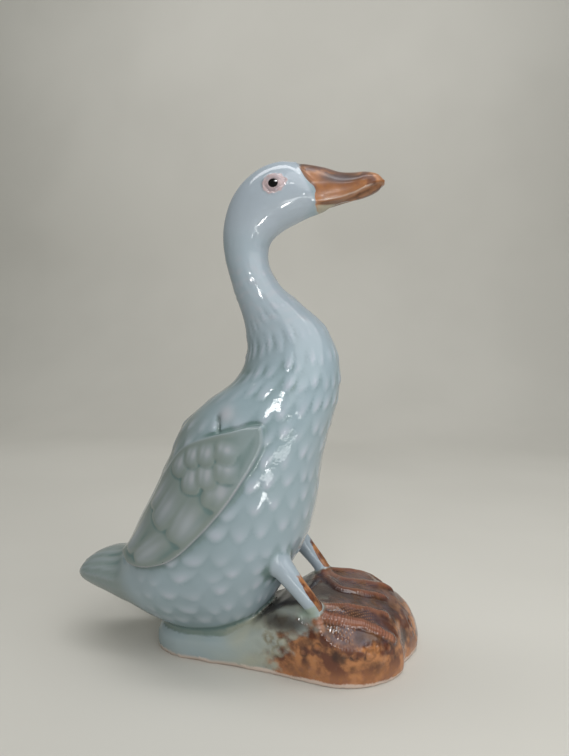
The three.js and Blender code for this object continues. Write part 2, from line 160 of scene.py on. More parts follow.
OUTER_SINK = 3.1  # the same for the toe that lies over the mound's near edge
WEB_LIFT = 0.6  # height of the webs over the mound's top
WEB_SLACK = 0.12  # share of the toes' length by which a web's free edge hangs back

# Middle line of the left leg from inside the thigh to inside the mound: [x, y, z, radius].
LEG_LINE = np.array([
    [4, 15, 70, 7.5],
    [14, 19, 58.5, 6.6],
    [22, 21.8, 50.5, 5.4],
    [29.5, 22.5, 42, 4.3],
    [36, 22, 34.3, 3.8],
    [38.2, 20.3, 29.8, 3.8],
    [39.2, 18.6, 24, 3.6],
])

# Bulge of the eye in side view, its half sizes, and how deep its middle lies under the head's side.
EYE_PLACE = np.array([16.4, 222.0])
EYE_SIZE = np.array([4.8, 1.6, 4.0])
EYE_SINK = 0.5

# Feathers of the body: how many go round it, the row that each rib lies on, and their depth.
FEATHERS_ROUND = 27
FEATHER_ROWS = np.array([
    [0.06, 0], [5.3, 9], [7, 11.4], [9, 13.6], [11, 15.2], [13, 16.6], [16, 18.6], [20, 21],
])
FEATHER_DEPTH = np.array([
    [0.4, 0], [1.2, 0.35], [2.5, 0.45], [6, 0.55], [8, 0.8],
    [10.5, 0.65], [12.5, 0.4], [14.5, 0.22], [16.5, 0.1], [18, 0],
])
FEATHER_DRIFT = 0.29  # columns that the flank's rows drift forward, for each rib down
DRIFT_END_RIB = 4.12

# Feathers of the wing in side view: [tip x, tip z, root x, root z, half width].
WING_FEATHERS = [
    [-41, 51.5, -20, 68, 4.6],
    [-47.5, 54.5, -35, 76, 3.6],
    [-20.5, 62.5, -8.5, 84, 6.6],
    [-31, 68.8, -17.5, 89, 5.2],
    [-37, 75, -25, 93, 3.4],
    [-3, 77.5, 2.5, 94, 6.8],
    [-14.2, 84.2, -13, 99, 4.6],
    [-7, 86.6, -5.5, 101, 4.2],
    [1.6, 89.5, 3.5, 102, 5],
    [-22.8, 90.2, -19.5, 103, 4.2],
    [-15.4, 94.8, -13.3, 106, 3.9],
    [-8, 96, -6.5, 107, 4.1],
    [0.6, 97.6, 2.8, 107, 4.8],
]
WING_DEPTH = 0.55  # of their relief
WING_RIM = 0.12  # height of the wing's moulded rim
WING_HOLLOW = 0.3  # depth of the hollow inside that rim
TAIL_RIDGES = 19  # as many as would go all round the tail
TAIL_RELIEF = 0.16

# Fold over the wing, edge of the bill's upper half, where a highlight is painted, and mouth: [x, z].
FOLD_LINE = np.array([[-4.4, 116.2], [-4.1, 113.5], [-3.8, 110.8]])
FOLD_DEPTH = 1.7
FOLD_BUMP = 0.5  # height of the soft bump above the fold
CREASE_DEPTH = 0.25  # of the line along the wing's upper edge
EDGE_LINE = np.array([[35.5, 214.7], [41.9, 215.6], [47.3, 216.7], [53.2, 218.2], [60.8, 221.2]])
MOUTH_LINE = np.array([
    [34, 212.8], [40, 213.6], [46, 214.9], [52, 216.7], [58, 219], [62.5, 221], [67, 222.6],
])
MOUTH_DEPTH = 0.5
LIP_HEIGHT = 0.45
LIP_ABOVE_MOUTH = 1.5

# Rim of the almond round the eye and the groove inside it.
EYE_RIM = 0.2
EYE_GROOVE = 0.22

HATCH_TURNS = 3600  # radians for each metre, of the crossed lines on the webs
TOE_RIPPLE = 1.25  # from one cross ridge of a toe to the next
RIPPLE_HEIGHT = 0.04

# Middles of the little rings moulded on the mound's side, with a low bump inside each.
RING_PLACES = np.array([
    [17.4, -22.9, 16.7], [24.3, -24.3, 15.9], [29.8, -25.6, 15.4], [40.1, -27.5, 16.8],
    [45.3, -28.1, 16.3], [56.3, -27.1, 14.7], [61.1, -23.4, 19.5], [66.1, -21.6, 16.4],
    [70.9, -17.9, 14.9], [69.3, -17.1, 19.3], [62.7, -24.7, 14.4], [33.8, -26.5, 13.9],
    [21.7, -23.8, 11.7], [81.2, 9.7, 14.4], [82.5, 18, 9.5], [79, 26, 13], [70, 34, 14],
    [60, 37.5, 14], [50, 36, 12], [40, 32.5, 15], [30, 28, 15.5], [18, 23.5, 14],
])
RING_RADIUS = 1.9
RING_DEPTH = 0.16
RING_BUMP = 0.12
MOUND_ROUGHNESS = (0.16, 0.08)  # of the waves 5.5 and 2.2 mm long

# Border of the brown glaze on the bill, upwards: [x, z].
BILL_BORDER = np.array([
    [36, 210.6], [34.7, 213.5], [35.2, 216], [35.6, 218.4], [34.6, 220.7],
    [31.8, 223.6], [29.4, 226.9], [27.5, 229.7], [25, 231.8], [23, 236],
])
PUPIL_PLACE = (16.7, 221.5)
PUPIL_RADII = (2.1, 1.85)

# Soft spots, each a middle and its reach: in side view over the fold and in the bill's scoop, in
# plan at the heels, and in side view the painted shade in the hollow behind a heel.
FOLD_BUMP_SPOT = (-0.6, 117.5), (3.2, 3.2)
FOLD_GLAZE_SPOT = (-0.4, 117.6), (3.8, 3.8)
SCOOP_SPOT = (46.5, 225), (9, 3.2)
HEEL_SPOT = (35.5, 23.8), (3.6, 3.6)
HEEL_POOL_SPOT = (35.8, 23.5), (4.6, 4.6)
HEEL_SHADE_SPOT = (24, 24.5), (12, 3.4)


def srgb(*parts):
    """Colour given as on a screen, from 0 to 255, turned into light values."""
    shares = [part / 255 for part in parts]
    return *(c / 12.92 if c <= 0.04045 else ((c + 0.055) / 1.055) ** 2.4 for c in shares), 1.0


# Colours of the celadon, brown and other glazes, the eye, bare clay, floor, painted shade and
# highlights.
CELADON = srgb(149, 166, 175)
CELADON_CLOUD = srgb(143, 161, 168)
CELADON_POOL = srgb(98, 120, 118)
CELADON_THIN_AND_LIT = srgb(182, 187, 199)
CELADON_EDGE = srgb(186, 178, 184)
CELADON_SHADE = srgb(124, 135, 131)
BROWN = srgb(98, 57, 40)
BROWN_LIGHT = srgb(174, 118, 75)
BROWN_DARK = srgb(58, 36, 28)
PURPLE = srgb(84, 72, 80)
OLIVE = srgb(116, 100, 64)
PAINTED_SHADE = srgb(40, 32, 34)
BILL_SIDE = srgb(164, 112, 80)
TOE_RED = srgb(112, 62, 46)
CREST = srgb(170, 114, 92)
HEEL = srgb(150, 164, 152)
CREAM = srgb(172, 172, 154)
EYE_WHITE = srgb(188, 168, 170)
EYE_INNER = srgb(160, 146, 150)
PUPIL = srgb(10, 9, 9)
CLAY_AND_HIGHLIGHT = srgb(206, 188, 176)
FLOOR = srgb(206, 203, 196)
FLOOR_CLOUD = srgb(200, 197, 190)

# How rough the glaze is, what is added on bare clay and on satin places, and the depth of its bump.
GLAZE_ROUGHNESS = 0.06
CLAY_ROUGHNESS = 0.6
SATIN_ROUGHNESS = 0.22
FLOOR_ROUGHNESS = 0.75
BUMP_DEPTH = 0.2

# Soft light from all round.
STUDIO = srgb(205, 212, 204)
STUDIO_STRENGTH = 0.27

# Lights round the piece: name, turn from the front towards the duck's head and rise in degrees,
# distance in metres, size in metres, watts. All of them look at one place.
LIT_PLACE = Vector((0.03, 0, 0.13))
LIGHTS = [
    ("window_high", 2, 27.5, 0.95, (0.17, 0.1), 1.8),
    ("window_upper", 15, 33, 0.95, (0.05, 0.05), 0.12),
    ("window_mid", 30.6, 0, 0.34, (0.02, 0.045), 0.04),
    ("card_low", 36, -16, 0.33, (0.22, 0.03), 0.12),
    ("soft_top", 57, 46, 0.65, (0.85, 0.75), 3.3),
]
# Lights aimed elsewhere: name, place and target in metres, size in metres, watts, spread in degrees.
AIMED_LIGHTS = [
    ("window_low", (0.14, -0.24, 0.015), (0.024, -0.01, 0.21), (0.03, 0.045), 0.016, 60),
    ("backdrop", (-0.15, 0.1, 1.3), (-0.25, 1.1, 0.3), (1.4, 0.5), 9, 180),
]

# Floor in metres: how far it runs forward, where it rises behind and how high, its curve and width.
FLOOR_FRONT = -1.6
FLOOR_BACK = 1.1
FLOOR_HEIGHT = 1.6
FLOOR_CURVE = 0.45
FLOOR_WIDTH = 4.0
CURVE_STEPS = 12

# Camera: place, turn about the vertical, dip and roll, focal length and picture height in pixels.
CAMERA_PLACE = (67.4, -259.4, 141.5)
CAMERA_TURN = math.radians(10.3)
CAMERA_DIP = math.radians(1.885)
CAMERA_ROLL = math.radians(0.38)
FOCAL_PIXELS = 547
PICTURE_PIXELS = 756
SENSOR = 36.0  # the sensor's longer side, which is upright here

# How softly the parts of the body run into each other.
TAIL_BLEND = 4.0
BILL_BLEND = 2.0
THIGH_BLEND = 4.0
BELLY_BLEND = 2.0
TOE_BLEND = 2.0
EYE_BLEND = 1.2

# Boxes that hold the mound, the bill, the eye and the leg.
MOUND_BOX = (-50, -34, 0), (92, 46, 36)
BILL_BOX = (22, -11, 208), (68, 11, 236)
EYE_BOX = (10, 0, 216), (22, 16, 228)
LEG_BOX = (0, 10, 20), (44, 28, 74)

# First even net, shifted a little so that no grid plane lies in the table or the middle plane.
GRID_STEP = 1.75
GRID_BOX = np.array([[-90.0, -44.0, -2.0], [90.0, 44.0, 239.0]])
GRID_SHIFT = 0.37
MAP_STEP = 0.75  # usual step of the flat maps

# Edge lengths that the net is refined to.
BODY_LENGTH = 1.2
SMOOTH_LENGTH = 1.8
WING_LENGTH = 0.8
FEET_LENGTH = 0.5
BILL_LENGTH = 0.42
EYE_LENGTH = 0.45


def mix(a, b, t):
    return a + (b - a) * t


def ramp(low, high, x):
    """Soft rise from 0 where x is low to 1 where it is high."""
    t = np.clip((x - low) / (high - low), 0, 1)
    return t * t * (3 - 2 * t)


def ridge(distance, width):
    """Soft bump of height 1 over a line."""
    return np.exp(-(distance / width) ** 2)


def patch(a, b, spot, power=2):
    """Soft bump of height 1 over a spot in a plane. A high power gives it a flat top."""
    middle, reach = spot
    return np.exp(-np.hypot((a - middle[0]) / reach[0], (b - middle[1]) / reach[1]) ** power)


def most(*shares):
    """The largest of several values at each point."""
    return np.maximum.reduce(shares)


def follow(table, x):
    """Second column of a table, read between its rows at places given in its first."""
    return np.interp(x, table[:, 0], table[:, 1])


def soft_min(a, b, softness):
    """The smaller value, with a soft passage where the two are nearly the same."""
    h = np.maximum(softness - np.abs(a - b), 0) / softness
    return np.minimum(a, b) - h * h * softness / 4


def soft_max(a, b, softness):
    return -soft_min(-a, -b, softness)


def spline(points, u, closed=False):
    """Points of a uniform Catmull-Rom curve through the given ones, at shares u of its way."""
    points = np.asarray(points, float)
    count = len(points)
    place = np.asarray(u, float) * (count if closed else count - 1)
    i = np.floor(place).astype(int)
    if not closed:
        i = np.clip(i, 0, count - 2)
    w = (place - i)[:, None]
    if closed:
        p0, p1, p2, p3 = (points[(i + k) % count] for k in (-1, 0, 1, 2))
    else:
        padded = np.vstack([2 * points[0] - points[1], points, 2 * points[-1] - points[-2]])
        p0, p1, p2, p3 = (padded[i + k] for k in (0, 1, 2, 3))
    t0, t1 = (p2 - p0) / 2, (p3 - p1) / 2
    return (((2 * p1 - 2 * p2 + t0 + t1) * w + (3 * p2 - 3 * p1 - 2 * t0 - t1)) * w + t0) * w + p1


class Map:
    """Values worked out once on a flat grid and read back between its places."""

    def __init__(self, low, high, values, step=MAP_STEP):
        self.low, self.step = np.array(low, float), step
        sizes = [int(math.ceil((h - l) / step)) + 1 for l, h in zip(low, high)]
        first, second = (self.low[k] + step * np.arange(sizes[k]) for k in (0, 1))
        a, b = np.meshgrid(first, second, indexing="ij")
        result = np.asarray(values(np.stack([a.ravel(), b.ravel()], 1)))
        self.values = result.reshape(*sizes, -1)

    def __call__(self, a, b):
        rows, columns = self.values.shape[:2]
        p = np.clip((a - self.low[0]) / self.step, 0, rows - 1.001)
        q = np.clip((b - self.low[1]) / self.step, 0, columns - 1.001)
        i, j = p.astype(int), q.astype(int)
        s, t = (p - i)[:, None], (q - j)[:, None]
        v = self.values
        near = v[i, j] * (1 - s) + v[i + 1, j] * s
        far = v[i, j + 1] * (1 - s) + v[i + 1, j + 1] * s
        return near * (1 - t) + far * t


def nearest_piece(points, starts, ends, radii=None):
    """Distance to the nearest of several straight pieces, its number, and where along it, 0 to 1.

    With radii at the pieces' ends, the distance is to the skin of a tube.
    """
    best = np.full(len(points), np.inf)
    number, along = np.zeros((2, len(points)))
    for k, (start, end) in enumerate(zip(starts, ends)):
        way = end - start
        part = np.clip((points - start) @ way / (way @ way + 1e-9), 0, 1)
        distance = np.linalg.norm(points - start - part[:, None] * way, axis=1)
        if radii is not None:
            distance = distance - mix(radii[k], radii[k + 1], part)
        nearer = distance < best
        best[nearer], number[nearer], along[nearer] = distance[nearer], k, part[nearer]
    return best, number, along


def to_path(points, path):
    """Distance from each point to a path of straight pieces, and how far along the path that is."""
    distance, number, along = nearest_piece(points, path[:-1], path[1:])
    return distance, (number + along) / (len(path) - 1)


def inside_outline(points, outline):
    """Whether each flat point lies inside a closed outline."""
    inside = np.zeros(len(points), bool)
    for (ax, ay), (bx, by) in zip(outline, np.roll(outline, -1, 0)):
        if ay == by:
            continue
        spans = (points[:, 1] < ay) != (points[:, 1] < by)
        inside ^= spans & (points[:, 0] < ax + (points[:, 1] - ay) * (bx - ax) / (by - ay))
    return inside


class Loft:
    """Ribs across the middle plane as one smooth tube, read as a field around it."""

    SAMPLES = 360

    def __init__(self, ribs, squareness=lambda t: 2 + 0 * t, margin=14):
        self.last = len(ribs) - 1
        self.t = np.linspace(0, self.last, self.SAMPLES)
        u = self.t / self.last
        first, second, across = (spline(ribs[:, k:k + 2], u) for k in (0, 2, 4))
        self.middle = (first + second) / 2
        arm = (first - second) / 2
        self.depth = np.linalg.norm(arm, axis=1)
        self.arm = arm / self.depth[:, None]
        heading = self.middle[-1] - self.middle[0]
        self.turn = np.sign(self.arm[0, 0] * heading[1] - self.arm[0, 1] * heading[0])
        exponent = squareness(self.t)
        self.measures = np.column_stack([self.middle, self.arm, self.depth, across, exponent])
        ends = np.vstack([ribs[:, 0:2], ribs[:, 2:4]])
        self.box = ends.min(0) - margin, ends.max(0) + margin
        self.places = Map(*self.box, self.find_rib)

    def above(self, points, k):
        """Distance in side view by which each place lies past a sampled rib, towards the last one."""
        offset = points - self.middle[k]
        return self.turn * (self.arm[k, 0] * offset[:, 1] - self.arm[k, 1] * offset[:, 0])

    def find_rib(self, points):
        """Number of the rib that passes through each place in side view."""
        above = self.above(points, 0)
        found = np.where(above < -self.above(points, -1), 0.0, float(self.last))
        best = np.full(len(points), np.inf)
        for k in range(1, self.SAMPLES):
            next_above = self.above(points, k)
            reach = np.abs((points - self.middle[k]) @ self.arm[k]) / self.depth[k]
            nearer = (above >= 0) & (next_above < 0) & (reach < best)
            w = above[nearer] / (above[nearer] - next_above[nearer])
            found[nearer] = mix(self.t[k - 1], self.t[k], w)
            best[nearer] = reach[nearer]
            above = next_above
        return found

    def place(self, points):
        """Rib number, place along the rib, and what the rib measures there."""
        x, _, z = points.T
        t = self.places(x, z)[:, 0]
        middle_x, middle_z, arm_x, arm_z, *sizes = (np.interp(t, self.t, row) for row in self.measures.T)
        return t, (x - middle_x) * arm_x + (z - middle_z) * arm_z, *sizes

    def field(self, points):
        t, along, depth, across, n = self.place(points)
        a = np.maximum(np.abs(along) / depth, 1e-4)
        b = np.maximum(np.abs(points[:, 1]) / across, 1e-4)
        total = a ** n + b ** n
        scale = total ** (1 / n - 1)
        slope = scale * np.hypot(a ** (n - 1) / depth, b ** (n - 1) / across)
        distance = (total ** (1 / n) - 1) / slope
        distance = np.maximum(distance, -np.minimum(depth, across))
        places = points[:, [0, 2]]
        before, past = -self.above(places, 0), self.above(places, -1)
        return np.maximum(distance, np.maximum(before, past))

    def angle(self, points):
        """Place round the rib: 0 at its first end, half a turn at its second."""
        t, along, depth, across, n = self.place(points)
        a = np.sign(along) * (np.abs(along) / depth) ** (n / 2)
        b = np.sign(points[:, 1]) * (np.abs(points[:, 1]) / across) ** (n / 2)
        return t, np.arctan2(b, a)


def trunk_squareness(t):
    return mix(BODY_SQUARENESS, 2, ramp(5, NECK_RIB, t))


trunk = Loft(TRUNK_RIBS, trunk_squareness)
tail = Loft(TAIL_RIBS)
bill = Loft(BILL_RIBS)


def wing_measures(places):
    """Distance inside the wing's outline, share from its lower to its upper edge and along it."""
    u = np.linspace(0, 1, 120)
    lower, upper = spline(WING_LOWER, u), spline(WING_UPPER, u)
    to_lower, along = to_path(places, lower)
    to_upper, _ = to_path(places, upper)
    inside = inside_outline(places, np.vstack([lower, upper[::-1]]))
    edge = np.where(inside, 1, -1) * np.minimum(to_lower, to_upper)
    return np.stack([edge, to_lower / (to_lower + to_upper + 1e-6), along], 1)


wing_map = Map((-66, 36), (26, 122), wing_measures, 0.5)


def wing_raise(points):
    """How far the wing stands off the body at each point."""
    edge, share, _ = wing_map(points[:, 0], points[:, 2]).T
    lower = ramp(0.75, 0.35, share)
    front = ramp(-12, 6, points[:, 0])
    thickness = WING_LIFT * mix(mix(0.1, 0.4, front), 1, ramp(0.97, 0.5, share))
    moulding = WING_RIM * ridge(edge - 1.0, 0.7) - WING_HOLLOW * ridge(edge - 4.8, 2.6)
    side = ramp(3, 7, np.abs(points[:, 1]))
    return side * (thickness * ramp(-0.5, 1.0, edge) + lower * moulding)


def look_up(places, column):
    """A column of the mound's heights at each place, softly bent at the table's entries."""
    table = MOUND_HEIGHTS
    i = np.clip(np.searchsorted(table[:, 0], places) - 1, 0, len(table) - 2)
    t = np.clip((places - table[i, 0]) / (table[i + 1, 0] - table[i, 0]), 0, 1)
    eased = (t + t * t * (3 - 2 * t)) / 2
    return mix(table[i, column], table[i + 1, column], eased)


def web_outline(toe_a, toe_b):
    """Outline of the web between two toes, which hangs slack between their tips."""
    reach = np.linspace(0.06, 0.9, 12)
    across = np.linspace(0, 1, 8)
    end = reach[-1] - WEB_SLACK * np.sin(np.pi * across)
    far = mix(spline(toe_a, end), spline(toe_b, end), across[:, None])
    return np.vstack([spline(toe_a, reach), far, spline(toe_b, reach)[::-1]])


def signed_distance(places, outline):
    """Distance to a closed outline, positive inside it."""
    distance, _ = to_path(places, np.vstack([outline, outline[:1]]))
    return np.where(inside_outline(places, outline), distance, -distance)


def mound_measures(places):
    """What the mound measures at each place in plan.

    The columns are its height, how far the place lies inside the plan, how far inside a web, the
    height of the rim there, and the share of the way from the rim to the crown line.
    """
    turns = np.arange(256) / 256
    rim = spline(MOUND_PLAN, turns, closed=True)
    t = (1 - np.cos(2 * np.pi * turns)) / 2
    crown = mix(RIDGE_FRONT, RIDGE_REAR, t[:, None])
    _, _, share = nearest_piece(places, rim, crown)
    inward = signed_distance(places, rim)
    share = np.where(inward < 0, inward / 30, share)
    place = places[:, 0] - MOUND_SKEW * places[:, 1]
    low, high = look_up(place, 1), look_up(place, 2)
    bent = np.minimum(share / MOUND_EDGE, 1)
    rise = np.where(bent < 0, MOUND_ROUNDNESS * bent, 1 - (1 - bent.clip(0)) ** MOUND_ROUNDNESS)
    web = np.full(len(places), -9.0)
    for toes in (RIGHT_TOES, LEFT_TOES):
        for pair in (toes[:2], toes[1:]):
            web = np.maximum(web, signed_distance(places, web_outline(*pair)))
    return np.stack([mix(low, high, rise), inward, web, low, share], 1)


mound_map = Map((-52, -36), (94, 48), mound_measures, 0.6)


def mound_field(points):
    x, y, z = points.T
    top, inward, web, rim, _ = mound_map(x, y).T
    top = top + WEB_LIFT * ramp(-1.6, 1.6, web)
    bulge = 0.5 * np.sin(np.pi * np.clip(z / np.maximum(rim, 1), 0, 1))
    foot = 0.2 * ramp(2.5, 0, z)
    side = -inward - bulge + foot
    body = soft_max((z - top) * 0.8, side, 4)
    return soft_max(body, -z, 0.6)


def tube_field(points, path, radii):
    """Distance to a tube with a changing radius along a path in space."""
    return nearest_piece(points, path[:-1], path[1:], radii)[0]


def toe_tubes():
    """Path and radii of every toe, with two knuckles each."""
    tubes = []
    u = np.linspace(0, 1, 22)
    knuckles = ridge(u - 0.42, 0.07) + ridge(u - 0.7, 0.07)
    radii = TOE_RADIUS * (1 - TOE_TAPER * u) * (1 + 0.05 * knuckles)
    for toe in RIGHT_TOES + LEFT_TOES:
        plan = spline(toe, u)
        over_edge = ramp(-23, -25.5, plan[:, 1])
        height = mound_map(*plan.T)[:, 0] - mix(TOE_SINK, OUTER_SINK, over_edge)
        tubes.append((np.column_stack([plan, height]), radii))
    return tubes


toes = toe_tubes()
leg_share = np.linspace(0, 1, 18)
leg_tube = spline(LEG_LINE[:, 0:3], leg_share), spline(LEG_LINE[:, 3:4], leg_share)[:, 0]


def eye_half_width():
    """Half width of the head where the eye sits."""
    probe = np.array([[EYE_PLACE[0], y, EYE_PLACE[1]] for y in np.linspace(5, 16, 441)])
    return probe[np.argmin(np.abs(trunk.field(probe))), 1]


eye_middle = np.array([EYE_PLACE[0], eye_half_width() - EYE_SINK, EYE_PLACE[1]])


def eye_field(points):
    scaled = (points - eye_middle) / EYE_SIZE
    length = np.linalg.norm(scaled, axis=1)
    slope = np.linalg.norm(scaled / EYE_SIZE, axis=1) / np.maximum(length, 1e-6)
    return (length - 1) / np.maximum(slope, 1e-6)


def bill_field(points):
    t, angle = bill.angle(points)
    from_ridge = np.abs(angle)
    scoop = np.maximum(0, np.sin(2 * from_ridge)) * (from_ridge < np.pi / 2)
    along = np.sin(np.pi * np.clip(t / SCOOP_END_RIB, 0, 1))
    return bill.field(points) + BILL_SCOOP * scoop * along


def near(field, points, box, reach=9):
    """A field worked out only in and round a box, and far away elsewhere."""
    low, high = np.array(box[0]) - reach, np.array(box[1]) + reach
    chosen = ((points > low) & (points < high)).all(1)
    values = np.full(len(points), 50.0)
    if chosen.any():
        values[chosen] = field(points[chosen])
    return values


def ground_field(points):
    """The mound with the feet on it."""
    ground = near(mound_field, points, MOUND_BOX, 12)
    for path, radii in toes:
        toe = near(lambda p: tube_field(p, path, radii), points, (path.min(0), path.max(0)), 7)
        ground = soft_min(ground, toe, TOE_BLEND)
    return ground


def mirrored(points):
    """The points with those of the right side moved to the left one, where the body is described."""
    one_side = points.copy()
    one_side[:, 1] = np.abs(one_side[:, 1])
    return one_side


def duck_field(points):
    """The whole figurine: negative inside, about the distance to its skin near it."""
    one_side = mirrored(points)
    body = soft_min(trunk.field(one_side), tail.field(one_side), TAIL_BLEND)
    body = body - wing_raise(one_side)
    body = soft_min(body, near(bill_field, one_side, BILL_BOX), BILL_BLEND)
    body = soft_min(body, near(eye_field, one_side, EYE_BOX, 4), EYE_BLEND)
    leg = near(lambda p: tube_field(p, *leg_tube), one_side, LEG_BOX)
    body = soft_min(body, leg, THIGH_BLEND)
    return soft_min(body, ground_field(points), BELLY_BLEND)


CORNERS = np.array([[i, j, k] for i in (0, 1) for j in (0, 1) for k in (0, 1)])
EDGES = [(a, b) for a in range(8) for b in range(8)
         if b > a and np.abs(CORNERS[a] - CORNERS[b]).sum() == 1]


def surface_net(values, low, step):
    """Quads of the zero surface of grid values: one vertex in each cell that the surface crosses."""
    inside = values < 0
    sizes = np.array(values.shape) - 1
    corner_count = sum(
        inside[i:i + sizes[0], j:j + sizes[1], k:k + sizes[2]].astype(np.int8) for i, j, k in CORNERS)
    cells = np.argwhere((corner_count > 0) & (corner_count < 8))
    corner_values = np.stack([values[tuple((cells + corner).T)] for corner in CORNERS], 1)
    total, count = np.zeros((len(cells), 3)), np.zeros(len(cells))
    for a, b in EDGES:
        va, vb = corner_values[:, a], corner_values[:, b]
        crossed = (va < 0) != (vb < 0)
        w = np.where(crossed, va / np.where(crossed, va - vb, 1), 0)[:, None]
        total += np.where(crossed[:, None], mix(CORNERS[a], CORNERS[b], w), 0)
        count += crossed
    vertices = low + step * (cells + total / count[:, None])
    number = np.full(sizes, -1)
    number[tuple(cells.T)] = np.arange(len(cells))
    quads = []
    for axis in range(3):
        first, second = (axis + 1) % 3, (axis + 2) % 3
        start = [slice(1, -1)] * 3
        start[axis] = slice(0, -1)
        end = list(start)
        end[axis] = slice(1, None)
        here, there = inside[tuple(start)], inside[tuple(end)]
        crossed = np.argwhere(here != there)
        base = crossed + 1
        base[:, axis] -= 1
        leaving = here[tuple(crossed.T)]
        ring = []
        for da, db in ((1, 1), (0, 1), (0, 0), (1, 0)):
            cell = base.copy()
            cell[:, first] -= da
            cell[:, second] -= db
            ring.append(number[tuple(cell.T)])
        quad = np.stack(ring, 1)
        quads.append(np.where(leaving[:, None], quad, quad[:, ::-1]))
    return vertices, np.vstack(quads)


def split_quads(vertices, quads):
    """Triangles of the quads, each cut along its shorter diagonal."""
    a, b, c, d = (vertices[quads[:, k]] for k in range(4))
    short = np.linalg.norm(a - c, axis=1) < np.linalg.norm(b - d, axis=1)
    one, other = quads[short], quads[~short]
    return np.vstack([one[:, [0, 1, 2]], one[:, [0, 2, 3]], other[:, [0, 1, 3]], other[:, [1, 2, 3]]])


def neighbour_mean(triangles, values):
    """Mean of the values at each vertex's neighbours."""
    total = np.zeros_like(values)
    count = np.zeros(len(values))
    for k in range(3):
        a, b = triangles[:, k], triangles[:, (k + 1) % 3]
        for axis in range(values.shape[1]):
            total[:, axis] += np.bincount(a, values[b, axis], len(values))
        count += np.bincount(a, minlength=len(values))
    return total / np.maximum(count, 1)[:, None]


def gradient(field, points, values, step=0.05):
    return np.stack([(field(points + step * axis) - values) / step for axis in np.eye(3)], 1)


def settle(field, vertices, triangles, rounds):
    """Evens out the vertices and brings them back onto the zero surface, again and again."""
    for _ in range(rounds):
        vertices = mix(vertices, neighbour_mean(triangles, vertices), 0.5)
        values = field(vertices)
        slope = gradient(field, vertices, values)
        move = values / np.maximum((slope ** 2).sum(1), 0.25)
        vertices = vertices - np.clip(move, -1, 1)[:, None] * slope
    return vertices


def refine(vertices, triangles, wanted):
    """Splits every edge that is much longer than the length wanted at its middle."""
    pairs = np.sort(np.vstack([triangles[:, [0, 1]], triangles[:, [1, 2]], triangles[:, [2, 0]]]), 1)
    keys, back = np.unique(pairs[:, 0] * len(vertices) + pairs[:, 1], return_inverse=True)
    back = back.ravel()
    a, b = keys // len(vertices), keys % len(vertices)
    middle = (vertices[a] + vertices[b]) / 2
    length = np.linalg.norm(vertices[a] - vertices[b], axis=1)
    long = length > 1.45 * wanted(middle)
    number = np.full(len(keys), -1)
    number[long] = len(vertices) + np.arange(long.sum())
    vertices = np.vstack([vertices, middle[long]])
    count = len(triangles)
    cut = np.stack([number[back[:count]], number[back[count:2 * count]], number[back[2 * count:]]], 1)
    cuts = (cut >= 0).sum(1)
    result = [triangles[cuts == 0]]
    for turn in range(3):
        order = [(turn + k) % 3 for k in range(3)]
        t, m = triangles[:, order], cut[:, order]
        one = (cuts == 1) & (m[:, 0] >= 0)
        p, q, r = t[one].T
        s = m[one, 0]
        result += [np.stack([p, s, r], 1), np.stack([s, q, r], 1)]
        two = (cuts == 2) & (m[:, 2] < 0)
        p, q, r = t[two].T
        s, u = m[two, 0], m[two, 1]
        result += [np.stack([s, q, u], 1), np.stack([p, s, u], 1), np.stack([p, u, r], 1)]
    p, q, r = triangles[cuts == 3].T
    s, u, v = cut[cuts == 3].T
    result += [np.stack(corner, 1) for corner in ((p, s, v), (s, q, u), (v, u, r), (s, u, v))]
    return vertices, np.vstack(result)


def wanted_length(points):
    """Edge length wanted at each place: fine where the carving is fine. Later regions win."""
    x, y, z = mirrored(points).T
    edge = wing_map(x, z)[:, 0]
    by_eye = (np.abs(x - EYE_PLACE[0]) < 7.5) & (np.abs(z - EYE_PLACE[1]) < 7)
    regions = [
        ((edge > -2.5) & (y > 5), WING_LENGTH),
        ((z > 190) | (z < 0.2), SMOOTH_LENGTH),
        ((z < 24) & (x < 8), SMOOTH_LENGTH),
        ((z > 1) & (z < 17.5) & (x > 10), WING_LENGTH),
        ((z > 17) & (z < 36) & (x > 30), FEET_LENGTH),
        ((x > 22) & (z > 207), BILL_LENGTH),
        (by_eye & (y > 8), EYE_LENGTH),
    ]
    length = np.full(len(points), BODY_LENGTH)
    for region, wanted in regions:
        length[region] = wanted
    return length


def grow_skin():
    """Even skin of the figurine, fine where the carving needs it."""
    low = GRID_BOX[0] + GRID_SHIFT
    sizes = np.ceil((GRID_BOX[1] - low) / GRID_STEP).astype(int)
    axes = [low[k] + GRID_STEP * np.arange(sizes[k]) for k in range(3)]
    grid = np.stack(np.meshgrid(*axes, indexing="ij"), -1)
    values = np.concatenate([duck_field(slab.reshape(-1, 3)) for slab in np.array_split(grid, 8)])
    vertices, quads = surface_net(values.reshape(grid.shape[:3]), low, GRID_STEP)
    triangles = split_quads(vertices, quads)
    vertices = settle(duck_field, vertices, triangles, 3)
    for _ in range(2):
        vertices, triangles = refine(vertices, triangles, wanted_length)
        vertices = settle(duck_field, vertices, triangles, 2)
    return vertices, triangles


def to_line(points, line):
    """Distance in side view to a line given as [x, z] places."""
    return to_path(points[:, [0, 2]], line)[0]


def speckle(points, size, seed=0.0):
    """Smooth irregular values between about -1 and 1, the same on every run."""
    p = points / size + seed
    x, y, z = p.T
    return (np.sin(2.1 * x + 1.3 * np.sin(1.7 * y + seed)) * np.cos(1.9 * y + 1.1 * np.sin(2.3 * z))
            + np.sin(2.7 * z + 1.5 * np.cos(1.3 * x + 2 * seed))) / 2


def scatter(a, b):
    """An irregular number from -1 to 1 for each pair of whole numbers."""
    return np.sin(12.9898 * a + 78.233 * b + 1.7 * np.sin(3.1 * a - 5.3 * b))


